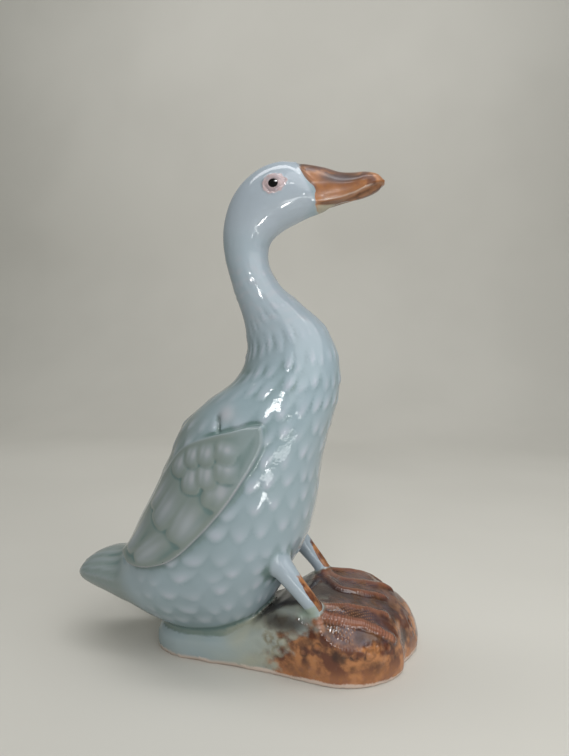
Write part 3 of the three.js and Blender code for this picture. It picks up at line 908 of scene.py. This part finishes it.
def drops(row, column, half):
    """Height and paleness from 0 to 1 of soft pointed feathers that overlap like roof tiles.

    half is half the width of a feather's pale tip in columns.
    """
    height = np.zeros(len(row))
    pale = np.zeros(len(row))
    for back in range(2):
        tip = np.floor(row) - back
        along = row - tip
        shift = np.where(tip % 2 == 0, 0.5, 0.0)
        nearest = np.round(column - shift)
        for step in (-1, 0, 1):
            chance = scatter(tip, nearest + step)
            further = scatter(nearest + step, tip + 5)
            across = np.abs(column - shift - nearest - step - 0.13 * chance)
            inward = along - 0.13 * further - 2 * across ** 2
            height = np.maximum(height, ramp(0, 0.45, inward) * (1 - 0.5 * along))
            fade = ridge(np.maximum(inward - 0.25, 0), 0.4) * (0.75 + 0.25 * further)
            pale = np.maximum(pale, ramp(0, 0.34, inward) * fade * ridge(across, half))
    return height, pale


def trunk_feathers(points):
    """Depth in mm of the trunk's feathers, their height, paleness and place round it in degrees."""
    t, angle = trunk.angle(points)
    degrees = np.degrees(np.abs(angle))
    row = follow(FEATHER_ROWS, t) + 0.08 * speckle(points, 11, 2.0)
    flank = ramp(20, 45, degrees) * ramp(165, 140, degrees)
    drift = FEATHER_DRIFT * np.maximum(0, DRIFT_END_RIB - t) * flank
    column = degrees / 360 * FEATHERS_ROUND + drift + 0.07 * speckle(points, 9)
    height, pale = drops(row, column, mix(0.27, 0.2, ramp(5, 10, t)))
    return follow(FEATHER_DEPTH, t), mix(height, pale, 0.85), pale, degrees


def wing_feathers(points):
    """Height and paleness from 0 to 1 of the wing's named feathers, each a round-ended leaf.

    The list runs from the tip of the wing up to its shoulder, and each leaf lies over the last ones.
    """
    places = points[:, [0, 2]]
    height = np.full(len(points), 0.3)
    pale = np.zeros(len(points))
    for *ends, half in WING_FEATHERS:
        tip, root = np.reshape(ends, (2, 2))
        way = (root - tip) / np.linalg.norm(root - tip)
        reach = np.linalg.norm(root - tip) - half
        offset = places - tip - way * half
        along = offset @ way / reach
        across = offset @ np.array([-way[1], way[0]]) / half
        wide = np.abs(across) / mix(1, 1.22, ramp(-0.2, 0.4, along))
        before = np.maximum(-along, 0) * reach / half
        distance = (wide ** 2.8 + before ** 2.8) ** (1 / 2.8)
        inner = mix(0.92, 0.75, ramp(0, 0.4, along))
        cover = ramp(1.18, inner, distance) * ramp(1.3, 0.6, along)
        halo = ramp(1.5, 1.1, distance) * ramp(0.45, -0.1, along) * (1 - cover)
        leaf = 1 - 0.6 * np.clip(along, 0, 1) - 0.14 * distance ** 2
        height = mix(height - 0.25 * halo, leaf, cover)
        streaks = 0.4 + 0.6 * ridge(across + 0.08, 0.34) + 0.3 * ridge(across - 0.62, 0.2)
        fade = ridge(along - 0.18, 0.42) * ramp(1.0, 0.6, distance)
        pale = mix(pale * (1 - 0.7 * halo), streaks * fade, cover)
    return height, pale


def tail_relief(points):
    """Fanned soft ridges along the tail, from -1 to 1."""
    t, angle = tail.angle(points)
    fan = np.cos(np.abs(angle) * TAIL_RIDGES + 0.6 * np.sin(1.3 * t))
    fan = np.abs(fan) ** 0.7 * np.sign(fan)
    upper = ramp(1.9, 1.3, np.abs(angle)) * ramp(0.1, 0.4, np.abs(angle))
    return fan * upper * ramp(1.2, 2.6, t) * ramp(7.2, 6.0, t)


def almond(points):
    """Size of the almond round the eye that passes through each point: 1 on its rim."""
    x = points[:, 0] - EYE_PLACE[0] - 0.2
    z = points[:, 2] - EYE_PLACE[1] + 0.7
    z = z - 0.22 * np.maximum(x, 0)
    point = 1 + 0.015 * np.maximum(x, 0) ** 1.5
    uneven = 1 + 0.08 * np.sin(1.3 * x + 0.9 * z) * np.cos(0.8 * x - 1.5 * z)
    return np.hypot(x / (4.9 * point), z / 4.5) * uneven


def carve(vertices, triangles):
    """Moves the skin by its fine relief. Returns the new vertices and what the glaze needs."""
    points = mirrored(vertices)
    x, y, z = points.T
    edge, share, _ = wing_map(x, z).T
    on_wing = ramp(-0.6, 1.6, edge) * ramp(4, 8, y)
    on_ground = ramp(1.2, -0.2, ground_field(vertices))
    on_tail = ramp(-4, 4, trunk.field(points) - tail.field(points)) * ramp(-30, -42, x)
    on_leg = ramp(1.2, 0.2, tube_field(points, *leg_tube)) * (z < 56) * (1 - on_ground)
    on_bill = ramp(1.5, 0.3, bill.field(points)) * ramp(24, 30, x) * (z > 205)
    by_eye = (np.abs(x - EYE_PLACE[0]) < 9) & (np.abs(z - EYE_PLACE[1]) < 9) & (y > 6)

    depth, feather, pale, degrees = trunk_feathers(points)
    bare = (1 - on_wing) * (1 - on_ground) * (1 - on_tail) * (1 - on_leg) * (1 - on_bill)
    shoulder = ramp(112, 120, z) * ramp(-30, -15, x) * ramp(20, 5, x) * (z < 135)
    bare = bare * (1 - 0.6 * shoulder) * ramp(-48, -30, x)
    relief = depth * bare * (feather - 0.5)
    leaf, leaf_pale = wing_feathers(points)
    wing_part = on_wing * ramp(1, 4, edge) * ramp(11, 4, x)
    relief += wing_part * WING_DEPTH * (leaf - 0.35)
    fan = on_tail * tail_relief(points)
    relief += TAIL_RELIEF * fan

    to_fold = to_line(points, FOLD_LINE)
    relief -= FOLD_DEPTH * ridge(to_fold, 0.95) * (y > 20)
    relief += FOLD_BUMP * patch(x, z, FOLD_BUMP_SPOT) * (y > 15)
    crease = ridge(edge + 0.4, 0.8) * ramp(0.6, 0.9, share) * ramp(-14, -3, x) * (y > 15)
    relief -= CREASE_DEPTH * crease

    lip = LIP_HEIGHT * ridge(to_line(points, MOUTH_LINE + [0, LIP_ABOVE_MOUTH]), 0.75)
    mouth = MOUTH_DEPTH * ridge(to_line(points, MOUTH_LINE), 0.6)
    relief += on_bill * ramp(32, 36, x) * (lip - mouth)
    rim = almond(points)
    relief += by_eye * (EYE_RIM * ridge(rim - 0.96, 0.14) - EYE_GROOVE * ridge(rim - 0.8, 0.1))

    toe_height, toe_way = toe_relief(vertices)
    toe_way = toe_way + 0.22 * speckle(vertices, 3.5)
    ripple = np.cos(2 * np.pi * toe_way / TOE_RIPPLE)
    relief += RIPPLE_HEIGHT * toe_height * ramp(2, 5, toe_way) * ripple
    rings, to_ring = ring_bumps(vertices)
    coarse, fine = MOUND_ROUGHNESS
    rough = coarse * speckle(vertices, 5.5) + fine * speckle(vertices, 2.2, 3.0)
    rough = rough * ramp(2, 16, x) * ramp(0.5, 3, z) * mix(1, 0.5, ramp(18, 24, z))
    relief += on_ground * (rings + rough)

    moved = vertices + vertex_normals(vertices, triangles) * relief[:, None]
    moved[:, 2] = np.where(z < 0.05, 0, np.maximum(moved[:, 2], 0))
    # Painted shade: the back, the lowest flank, the tail and the wing get a greyer, darker celadon, as
    # less light falls there.
    low_shade = 0.9 * ramp(95, 150, degrees) * ramp(150, 130, z)
    body_shade = np.maximum(low_shade, 0.08 * ramp(110, 60, z)) * bare
    carved = ramp(0, 0.4, depth) * bare
    values = {
        "feather": mix(pale * carved, leaf_pale * wing_part, on_wing),
        "carved": depth * bare,
        "tile": mix(feather * carved, mix(0.7, leaf, wing_part), on_wing),
        "wing": on_wing,
        "wing_edge": np.clip(edge, -9, 9),
        "ground": on_ground,
        "toe": toe_height,
        "leg": on_leg,
        "bill": on_bill,
        "almond": np.where(by_eye, rim, 3),
        "to_ring": to_ring,
        "fold": np.maximum(ridge(to_fold, 0.9) * (y > 20), 0.8 * crease),
        "fan": fan,
        "way": toe_way,
        "grey_shade": most(on_wing * mix(1, 0.6, ramp(-4, 12, x)), 0.85 * on_tail, body_shade),
    }
    return moved, values


def toe_relief(points):
    """How much each point belongs to a toe, and how far along it that is in mm."""
    belongs = np.zeros(len(points))
    way = np.zeros(len(points))
    for path, radii in toes:
        low, high = path.min(0) - 5, path.max(0) + 5
        chosen = np.flatnonzero(((points > low) & (points < high)).all(1))
        distance, along = to_path(points[chosen], path)
        radius = np.interp(along, np.linspace(0, 1, len(radii)), radii)
        part = ramp(radius + 1.1, radius, distance)
        length = np.linalg.norm(np.diff(path, axis=0), axis=1).sum()
        better = part > belongs[chosen]
        belongs[chosen] = np.where(better, part, belongs[chosen])
        way[chosen] = np.where(better, along * length, way[chosen])
    return belongs, way


def ring_bumps(points):
    """Little moulded rings round low bumps on the mound's side, and how far the nearest is."""
    nearest = np.full(len(points), 9.0)
    for k, centre in enumerate(RING_PLACES):
        size = 0.95 + 0.2 * scatter(k, 3)
        nearest = np.minimum(nearest, np.linalg.norm(points - centre, axis=1) / size)
    return RING_BUMP * ridge(nearest, 1.2) - RING_DEPTH * ridge(nearest - RING_RADIUS, 0.8), nearest


def vertex_normals(vertices, triangles):
    a, b, c = (vertices[triangles[:, k]] for k in range(3))
    face = np.cross(b - a, c - a)
    total = np.zeros_like(vertices)
    for k in range(3):
        for axis in range(3):
            total[:, axis] += np.bincount(triangles[:, k], face[:, axis], len(vertices))
    return total / np.maximum(np.linalg.norm(total, axis=1), 1e-12)[:, None]


def hollowness(vertices, triangles, rounds=2):
    """How hollow (positive) or proud (negative) the skin is at each vertex, in mm."""
    normal = vertex_normals(vertices, triangles)
    smooth = vertices
    for _ in range(rounds):
        smooth = neighbour_mean(triangles, smooth)
    return ((smooth - vertices) * normal).sum(1)


def add_object(name, data):
    """Object of the data, put into the scene."""
    obj = bpy.data.objects.new(name, data)
    bpy.context.scene.collection.objects.link(obj)
    return obj


def make_piece(name, vertices, triangles, values):
    """Blender object of the skin, in metres, with its values stored on the points."""
    mesh = bpy.data.meshes.new(name)
    placed = (vertices + [CENTRE_SHIFT, 0, 0]) * MM
    mesh.from_pydata(placed.tolist(), [], triangles.tolist())
    mesh.validate()
    mesh.shade_smooth()
    for key, value in values.items():
        layer = mesh.attributes.new(key, "FLOAT", "POINT")
        layer.data.foreach_set("value", value.astype(np.float32))
    return add_object(name, mesh)


def paint(vertices, triangles, values):
    """Shares of the different glazes, of painted shade and of painted highlights at each vertex, from 0
    to 1.
    """
    hollow = 5 * hollowness(vertices, triangles) + hollowness(vertices, triangles, 10)
    hollow = mix(hollow, neighbour_mean(triangles, hollow[:, None])[:, 0], 0.6)
    wander, fine = speckle(vertices, 7), speckle(vertices, 2.5, 4.0)
    x, y, z = vertices.T
    trunk_part = ramp(90, 100, z) * ramp(150, 135, z) * ramp(4, 14, x)
    shares = {
        "hollow": np.clip(0.5 + hollow, 0, 1) * mix(1, 0.6, values["bill"]),
        "grain": np.maximum(0.8 * values["ground"], trunk_part),
        "to_ring": values["to_ring"],
        "way": values["way"],
    }
    shares.update(paint_body(vertices, values, hollow, fine))
    shares.update(paint_mound(vertices, values, wander, fine))
    for name, share in paint_bill(vertices, values, fine).items():
        shares[name] = np.maximum(shares[name], share) if name in shares else share
    return shares


def paint_body(vertices, values, hollow, fine):
    """Where the celadon glaze pools or runs thin, where shade and light are painted on it, and the eye's
    almond.
    """
    x, y, z = vertices.T
    side = np.abs(y)
    wing, edge, tile, feather = (values[key] for key in ("wing", "wing_edge", "tile", "feather"))
    body = 1 - np.maximum(values["ground"], values["bill"])
    on_side = ramp(3, 7, side)
    lower = ramp(0.7, 0.4, wing_map(x, z)[:, 1])
    beside = 1 - 0.75 * ridge(edge + 0.6, 1.6) * on_side
    deep = mix(0.22, 0.5, ramp(95, 125, z) * ramp(185, 160, z))
    pool = 0.32 + 0.6 * hollow * beside + values["fold"] - 0.3 * values["fan"]
    pool += deep * (0.5 - tile) * ramp(0.01, 0.1, values["carved"])
    pool += 0.2 * ridge(edge - 4.6, 3.0) * on_side * lower + 0.42 * wing * (0.75 - tile)
    rim = ridge(edge - 0.7, 0.4) * on_side * (1 - values["ground"])
    streak = ramp(150, 165, z) * ramp(205, 180, z) * np.clip(fine, 0, 1)
    return {
        # Darker low down, next to the mound: glaze pooled there, and painted shade where the belly meets
        # the mound.
        "pool": np.clip(pool + 0.3 * ramp(40, 18, z) * body, 0, 1),
        "pale": most(
            np.clip(feather, 0, 1) * body * mix(1, 0.55, wing),
            # Painted light: the head and the upper neck are paler, as more light falls on them.
            mix(0.4, 0.62, ramp(195, 205, z)) * ramp(130, 165, z) * body,
            0.25 * values["fan"],
            0.45 * values["leg"]),
        "pinkish": most(
            0.5 * rim * mix(0.25, 1, lower * ramp(100, 88, z)),
            0.5 * patch(x, z, FOLD_GLAZE_SPOT) * (side > 15),
            0.25 * streak,
            0.2 * wing * ramp(0.5, 1, feather) * ramp(70, 85, z)),
        "grey_shade": values["grey_shade"] * body,
        "eye_white": ramp(1.1, 0.98, values["almond"]),
        "eye_inner": ramp(0.84, 0.72, values["almond"]),
    }


def paint_mound(vertices, values, wander, fine):
    """Glazes of the mound, the feet and the brown stripes down the legs, and painted shade round them.
    """
    x, y, z = vertices.T
    side = np.abs(y)
    ground, toe = values["ground"], values["toe"]
    top, _, web_edge, low_rim, share = mound_map(x, y).T
    proud = z - top
    web = ramp(-0.6, 1.0, web_edge)
    on_toe = toe * ramp(0.1, 0.9, proud)
    glazed_toe = toe * ground * ramp(0, 0.8, proud)
    # The toes' crests are lighter: thin glaze there, and a painted highlight.
    crest = ground * toe * ramp(0.7, 1.5, proud)

    front = ramp(12, 40, x + 4 * wander + 3 * fine - 0.5 * (z - 13))
    blotch = ramp(0.1, 0.5, fine + 0.5 * wander) * ramp(2, 22, x)
    heel = patch(x, side, HEEL_SPOT) * ramp(26.5, 29, z + 0.8 * fine)
    heel_pool = patch(x, side, HEEL_POOL_SPOT, 4) * ramp(26.5, 28.5, z + 0.6 * fine)
    heel_pool = heel_pool * ramp(33.2, 32.2, z - 0.5 * (x - 35.5))

    near_top = ramp(-0.5, 1.5, z - low_rim + 0.6 * fine) * ramp(40, 44, x) * ramp(-8, -14, y)
    between_toes = mix(1, 0.25, on_toe) * mix(0.75, 1, web)
    # Painted shade: under the belly between the legs, behind the legs and in the hollow beside each
    # heel.
    between_legs = ground * ramp(15, 6, side) * ramp(56, 36, x) * ramp(20, 24, z)
    behind = ground * ramp(35, 31, x) * ramp(7, 15, x) * ramp(20, 17.5, side) * ramp(16, 21, z)
    heel_side = patch(x, z + 0.5 * wander, HEEL_SHADE_SPOT, 4) * ground * (side > 15)

    path, radii = leg_tube
    middle, radius = (np.interp(-z, -path[:, 2], measure) for measure in (path[:, 0], radii))
    leg_front = np.clip(0.5 + 0.5 * (x - middle) / radius, 0, 1)
    return {
        "brown": ground * front * (1 - 0.9 * heel * ground * (1 - toe)),
        "brown_light": most(0.6 * ground * ramp(11, 4, z + 1.5 * wander), 0.3 * crest),
        "olive": ground * ramp(2, 24, x + 3 * wander) * (1 - front) * mix(0.35, 1, blotch),
        "purple": most(
            ground * ramp(0.2, 0.42, share) * ramp(10, 16, z) * between_toes,
            0.9 * ground * np.maximum(web, near_top) * (1 - on_toe),
            0.4 * ground * ramp(66, 74, x) * ramp(0.1, 0.3, share)),
        "cream": ground * mix(0.25, 0.9, ramp(-15, 12, x)) * mix(0.6, 1, np.clip(0.5 + wander, 0, 1)),
        "dark_top": ground * ramp(17, 24, z + wander),
        "shade": most(0.85 * between_legs, 0.97 * behind, 0.88 * heel_side * (1 - heel_pool)),
        "satin": behind,
        "clay": ramp(2.6, 1.9, z + 0.7 * wander + 0.3 * fine) * ground,
        "heel_pool": heel_pool * (1 - toe * ramp(38, 40, x)),
        "stripe": values["leg"] * (leg_front - 0.17 * ramp(36, 52, z)),
        "ring_place": ground * ramp(6, 16, x) * (1 - toe),
        "web": web * ground * (1 - toe),
        "toe": glazed_toe,
        "toe_red": glazed_toe * ramp(-26, -22.5, y),
        "crest": crest,
    }


def paint_bill(vertices, values, fine):
    """Glazes of the bill: brown up to its border, dark purple and painted shade in the scoop, a painted
    highlight along the edge and painted light on its side.
    """
    x, y, z = vertices.T
    beak = values["bill"]
    past_border = x - np.interp(z, BILL_BORDER[:, 1], BILL_BORDER[:, 0])
    brown = beak * ramp(-0.4, 0.4, past_border + 0.25 * fine)
    over_mouth = z - follow(MOUTH_LINE, x)
    over_line = z - follow(EDGE_LINE, x)
    under_top = follow(BILL_RIBS, x) - z
    on_line = brown * ramp(35.5, 38, x) * ramp(62, 59, x)
    # The scoop is dark purple, with painted shade in its hollow.
    scoop = np.maximum(
        patch(x, z, SCOOP_SPOT, 4) * beak * ramp(0, 2, np.abs(y)),
        0.75 * beak * ramp(4, 1.5, under_top) * ramp(57, 52, x))
    # Painted light: the bill's side between its top and the mouth is lighter, over its own tan.
    lit = brown * ramp(3.5, 7.5, under_top) * mix(1, 0.3, ramp(52, 60, x)) * ramp(-0.6, 1.2, over_mouth)
    return {
        "beak": beak,
        "brown": brown,
        "brown_light": 0.7 * lit,
        "purple": np.maximum(scoop, 0.8 * ridge(past_border - 0.4, 0.8) * beak * ramp(217, 221, z)),
        "shade": 0.35 * scoop,
        "satin": beak * ramp(0.2, 2.2, over_mouth),
        "lower_bill": beak * ramp(0.5, -0.2, over_mouth) * ramp(49, 44, x + fine) * ramp(34, 36.5, x),
        # Painted highlight along the edge of the bill's upper half.
        "bill_highlight": on_line * ridge(over_line, 0.26),
        "bill_groove": on_line * ridge(over_line + 1.2, 0.6),
    }


class Shader:
    """A small helper that writes node materials in reading order."""

    def __init__(self, name):
        self.material = bpy.data.materials.new(name)
        self.material.use_nodes = True
        self.tree = self.material.node_tree
        self.surface = self.tree.nodes["Principled BSDF"]

    def node(self, kind, inputs=(), **settings):
        node = self.tree.nodes.new(kind)
        for key, value in settings.items():
            setattr(node, key, value)
        for key, value in dict(inputs).items():
            self.put(node.inputs[key], value)
        return node

    def put(self, socket, value):
        if isinstance(value, bpy.types.NodeSocket):
            self.tree.links.new(value, socket)
        else:
            socket.default_value = value

    def maths(self, operation, a, b=0.0):
        return self.node("ShaderNodeMath", {0: a, 1: b}, operation=operation).outputs[0]

    def plus(self, a, b):
        return self.maths("ADD", a, b)

    def times(self, a, b):
        return self.maths("MULTIPLY", a, b)

    def value(self, name, strength=None):
        """A value stored on the skin's points, times a strength where one is given."""
        stored = self.node("ShaderNodeAttribute", attribute_name=name).outputs["Fac"]
        return stored if strength is None else self.times(stored, strength)

    def place(self):
        return self.node("ShaderNodeTexCoord").outputs["Object"]

    def axes(self):
        return self.node("ShaderNodeSeparateXYZ", {0: self.place()}).outputs

    def noise(self, scale, detail=3.0):
        inputs = {"Vector": self.place(), "Scale": scale, "Detail": detail}
        return self.node("ShaderNodeTexNoise", inputs).outputs["Fac"]

    def span(self, value, low, high, to_low=0.0, to_high=1.0):
        inputs = {"Value": value, "From Min": low, "From Max": high, "To Min": to_low, "To Max": to_high}
        return self.node("ShaderNodeMapRange", inputs, interpolation_type="SMOOTHSTEP").outputs["Result"]

    def mottle(self, scale, low=0.3, high=0.7, to_low=0.0, to_high=1.0, detail=3.0):
        """Noise between two of its values, spread over the range wanted."""
        return self.span(self.noise(scale, detail), low, high, to_low, to_high)

    def bump(self, height, strength):
        """Roughens the surface by a height from 0 to 1, over what is already there."""
        inputs = {"Height": height, "Strength": strength, "Distance": BUMP_DEPTH * MM}
        bump = self.node("ShaderNodeBump", inputs)
        normal = self.surface.inputs["Normal"]
        if normal.is_linked:
            self.put(bump.inputs["Normal"], normal.links[0].from_socket)
        self.put(normal, bump.outputs["Normal"])

    def blend(self, share, first, second):
        node = self.node("ShaderNodeMix", data_type="RGBA")
        self.put(node.inputs[0], share)
        self.put(node.inputs[6], first)
        self.put(node.inputs[7], second)
        return node.outputs[2]


def glaze_material():
    """Celadon that pools green in the hollows, brown on bill, feet and mound's front; painted shade and
    highlights.
    """
    s = Shader("duck_glaze")
    colour = s.blend(s.mottle(30), CELADON, CELADON_CLOUD)
    # Painted shade: greyer, darker celadon on the wing, back, tail and lowest flank.
    colour = s.blend(s.value("grey_shade"), colour, CELADON_SHADE)
    colour = s.blend(s.span(s.value("pool"), 0.25, 1.0), colour, CELADON_POOL)
    # Paler where the glaze runs thin, and painted light on the head and upper neck.
    colour = s.blend(s.value("pale", 0.8), colour, CELADON_THIN_AND_LIT)
    colour = s.blend(s.value("pinkish"), colour, CELADON_EDGE)
    colour = s.blend(s.value("cream"), colour, CREAM)
    olive = s.blend(s.mottle(220, 0.4, 0.6), OLIVE, BROWN_DARK)
    colour = s.blend(s.value("olive", 0.7), colour, olive)
    ring = s.times(ring_line(s), s.mottle(160, to_low=0.35))
    colour = s.blend(s.times(ring, 0.65), colour, OLIVE)
    colour = s.blend(s.value("heel_pool"), colour, HEEL)
    colour = s.blend(brown_share(s), colour, brown_glaze(s))
    colour = s.blend(s.value("lower_bill", 0.8), colour, CREAM)
    # Painted shade under the belly, between and behind the legs, beside the heels and in the bill's
    # scoop.
    colour = s.blend(s.value("shade"), colour, PAINTED_SHADE)
    white = s.span(s.plus(s.value("eye_white"), s.mottle(330, to_low=-0.45, to_high=0.45)), 0.2, 0.9)
    white = s.times(white, s.span(s.value("eye_white"), 0.0, 0.2))
    inner = s.times(s.value("eye_inner"), s.mottle(260, 0.35, 0.6))
    colour = s.blend(white, colour, s.blend(inner, EYE_WHITE, EYE_INNER))
    colour = s.blend(pupil_share(s), colour, PUPIL)
    colour = s.blend(s.value("clay"), colour, CLAY_AND_HIGHLIGHT)
    s.put(s.surface.inputs["Base Color"], colour)
    rough = s.mottle(90, to_low=GLAZE_ROUGHNESS, to_high=GLAZE_ROUGHNESS + 0.05)
    rough = s.plus(rough, s.value("clay", CLAY_ROUGHNESS))
    s.put(s.surface.inputs["Roughness"], s.plus(rough, s.value("satin", SATIN_ROUGHNESS)))
    grain = s.times(s.noise(800, 2.0), s.span(s.value("grain"), 0.0, 1.0, 0.25, 1.0))
    s.bump(grain, 0.35)
    s.bump(s.plus(hatching(s), cross_lines(s)), 0.4)
    return s.material


def brown_share(s):
    """Share of the brown glaze, with a broken border and a sharp one on the legs' stripes."""
    patchy = s.plus(s.value("brown"), s.mottle(170, to_low=-0.3, to_high=0.3, detail=5.0))
    patchy = s.times(s.span(patchy, 0.05, 0.75), s.span(s.value("brown"), 0.02, 0.3))
    stripe = s.plus(s.value("stripe"), s.mottle(90, to_low=-0.04, to_high=0.04))
    return s.maths("MAXIMUM", patchy, s.span(stripe, 0.84, 0.88))


def brown_glaze(s):
    """Mottled brown: light where it runs thin and where light is painted, nearly black in the hollows,
    purplish on the webs.
    """
    rust = s.blend(s.mottle(150, 0.4, 0.6, detail=5.0), BROWN, BROWN_LIGHT)
    dark = s.times(s.mottle(80, 0.47, 0.64, 0.0, 0.9, 5.0), s.span(s.value("beak"), 0.0, 1.0, 1.0, 0.35))
    rust = s.blend(dark, rust, BROWN_DARK)
    # Lighter where the glaze runs thin, and painted light on the toes' crests and the bill's side.
    thin_and_lit = s.blend(s.mottle(420, 0.35, 0.65, detail=2.0), BROWN_LIGHT, BILL_SIDE)
    rust = s.blend(s.value("brown_light"), rust, thin_and_lit)
    rust = s.blend(s.span(s.value("hollow"), 0.55, 1.15), rust, BROWN_DARK)
    rust = s.blend(s.value("dark_top", 0.4), rust, BROWN_DARK)
    rust = s.blend(s.times(s.value("toe_red"), s.mottle(140, 0.35, 0.65, 0.25, 0.75)), rust, TOE_RED)
    # Painted highlight, with thin glaze, on the toes' crests.
    rust = s.blend(s.value("crest", 0.4), rust, CREST)
    rust = s.blend(s.times(cross_lines(s), 0.4), rust, BROWN_DARK)
    rust = s.blend(s.times(ring_line(s), 0.4), rust, BROWN_DARK)
    spot = s.times(s.span(s.value("to_ring"), 0.2, 1.5, 0.5, 0.0), s.value("ring_place"))
    rust = s.blend(spot, rust, BILL_SIDE)
    purple = s.blend(s.mottle(120, 0.35, 0.65), PURPLE, BROWN_DARK)
    purple = s.blend(s.times(hatching(s), 0.5), purple, BROWN_LIGHT)
    glaze = s.blend(s.value("purple", 0.85), rust, purple)
    glaze = s.blend(s.value("bill_groove", 0.6), glaze, BROWN_DARK)
    # Painted highlight along the edge of the bill's upper half, in the pale clay colour.
    return s.blend(s.value("bill_highlight", 0.75), glaze, CLAY_AND_HIGHLIGHT)


def ring_line(s):
    """Dark soft rings round the mound's little bumps."""
    uneven = s.plus(s.value("to_ring"), s.mottle(330, to_low=-0.7, to_high=0.7))
    ring = s.times(s.span(uneven, 1.9, 3.1, 1.0, 0.0), s.span(uneven, 0.6, 1.8))
    return s.times(ring, s.value("ring_place"))


def cross_lines(s):
    """Fine lines across the toes."""
    wave = s.maths("SINE", s.value("way", 2 * math.pi / TOE_RIPPLE))
    uneven = s.times(s.value("toe"), s.mottle(200, 0.35, 0.6, to_low=0.1))
    uneven = s.times(uneven, s.span(s.value("way"), 2.0, 5.0))
    return s.times(s.span(wave, -0.3, 0.8), uneven)


def hatching(s):
    """Fine crossed lines on the webs between the toes."""
    axes = s.axes()
    slanted = [s.maths(operation, axes["X"], axes["Y"]) for operation in ("ADD", "SUBTRACT")]
    lines = [s.span(s.maths("SINE", s.times(way, HATCH_TURNS)), -0.4, 0.6) for way in slanted]
    return s.times(s.times(*lines), s.value("web"))


def pupil_share(s):
    """1 inside the pupil's ellipse on both sides of the head, 0 outside."""
    axes = s.axes()
    squares = []
    middle = (PUPIL_PLACE[0] + CENTRE_SHIFT, PUPIL_PLACE[1])
    for axis, centre, radius in zip(("X", "Z"), middle, PUPIL_RADII):
        offset = s.maths("SUBTRACT", axes[axis], centre * MM)
        squares.append(s.maths("POWER", s.maths("DIVIDE", offset, radius * MM), 2.0))
    return s.span(s.maths("SQRT", s.plus(*squares)), 1.0, 1.12, 1.0, 0.0)


def floor_material():
    s = Shader("studio_floor")
    s.put(s.surface.inputs["Base Color"], s.blend(s.mottle(3.0), FLOOR, FLOOR_CLOUD))
    s.put(s.surface.inputs["Roughness"], FLOOR_ROUGHNESS)
    return s.material


def make_floor():
    """Pale floor that sweeps up behind into a backdrop."""
    profile = [(FLOOR_FRONT, 0.0), (FLOOR_BACK - FLOOR_CURVE, 0.0)]
    for step in range(1, CURVE_STEPS + 1):
        angle = math.pi / 2 * step / CURVE_STEPS
        y = FLOOR_BACK - FLOOR_CURVE + FLOOR_CURVE * math.sin(angle)
        profile.append((y, FLOOR_CURVE - FLOOR_CURVE * math.cos(angle)))
    profile.append((FLOOR_BACK, FLOOR_HEIGHT))
    points = [(side, y, z) for y, z in profile for side in (-FLOOR_WIDTH / 2, FLOOR_WIDTH / 2)]
    faces = [(2 * k, 2 * k + 1, 2 * k + 3, 2 * k + 2) for k in range(len(profile) - 1)]
    mesh = bpy.data.meshes.new("studio_floor")
    mesh.from_pydata(points, [], faces)
    mesh.shade_smooth()
    mesh.materials.append(floor_material())
    floor = add_object("studio_floor", mesh)
    floor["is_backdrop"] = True


def look_at(obj, place, target, roll=0.0):
    obj.location = place
    way = Vector(target) - Vector(place)
    turn = way.to_track_quat("-Z", "Y").to_matrix()
    obj.rotation_euler = (turn @ Matrix.Rotation(roll, 3, "Z")).to_euler()


def area_light(name, place, target, size, watts, spread=180):
    light = bpy.data.lights.new(name, "AREA")
    light.shape = "RECTANGLE"
    light.size, light.size_y = size
    light.energy = watts
    light.spread = math.radians(spread)
    look_at(add_object(name, light), place, target)


def make_camera():
    data = bpy.data.cameras.new("camera")
    data.sensor_width = SENSOR
    data.lens = SENSOR * FOCAL_PIXELS / PICTURE_PIXELS
    camera = add_object("camera", data)
    place = Vector(CAMERA_PLACE) * MM
    heading = Vector((-math.sin(CAMERA_TURN), math.cos(CAMERA_TURN), -math.tan(CAMERA_DIP)))
    look_at(camera, place, place + heading, CAMERA_ROLL)
    bpy.context.scene.camera = camera


def make_lights():
    world = bpy.data.worlds.new("studio")
    world.use_nodes = True
    background = world.node_tree.nodes["Background"]
    background.inputs["Color"].default_value = STUDIO
    background.inputs["Strength"].default_value = STUDIO_STRENGTH
    bpy.context.scene.world = world
    for name, turn, rise, distance, size, watts in LIGHTS:
        turn, rise = math.radians(turn), math.radians(rise)
        way = Vector((math.sin(turn) * math.cos(rise), -math.cos(turn) * math.cos(rise), math.sin(rise)))
        area_light(name, LIT_PLACE + way * distance, LIT_PLACE, size, watts)
    for light in AIMED_LIGHTS:
        area_light(*light)
    bpy.context.scene.view_settings.view_transform = "Standard"


def main():
    vertices, triangles = grow_skin()
    vertices, values = carve(vertices, triangles)
    piece = make_piece("duck_skin", vertices, triangles, paint(vertices, triangles, values))
    piece.data.materials.append(glaze_material())
    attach(piece, "root")
    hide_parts("duck_figurine")


make_camera()
make_floor()
make_lights()
main()

corners = {"cad": cad_box, "visual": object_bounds()}
{key: [[float(v) for v in corner] for corner in box] for key, box in corners.items()}
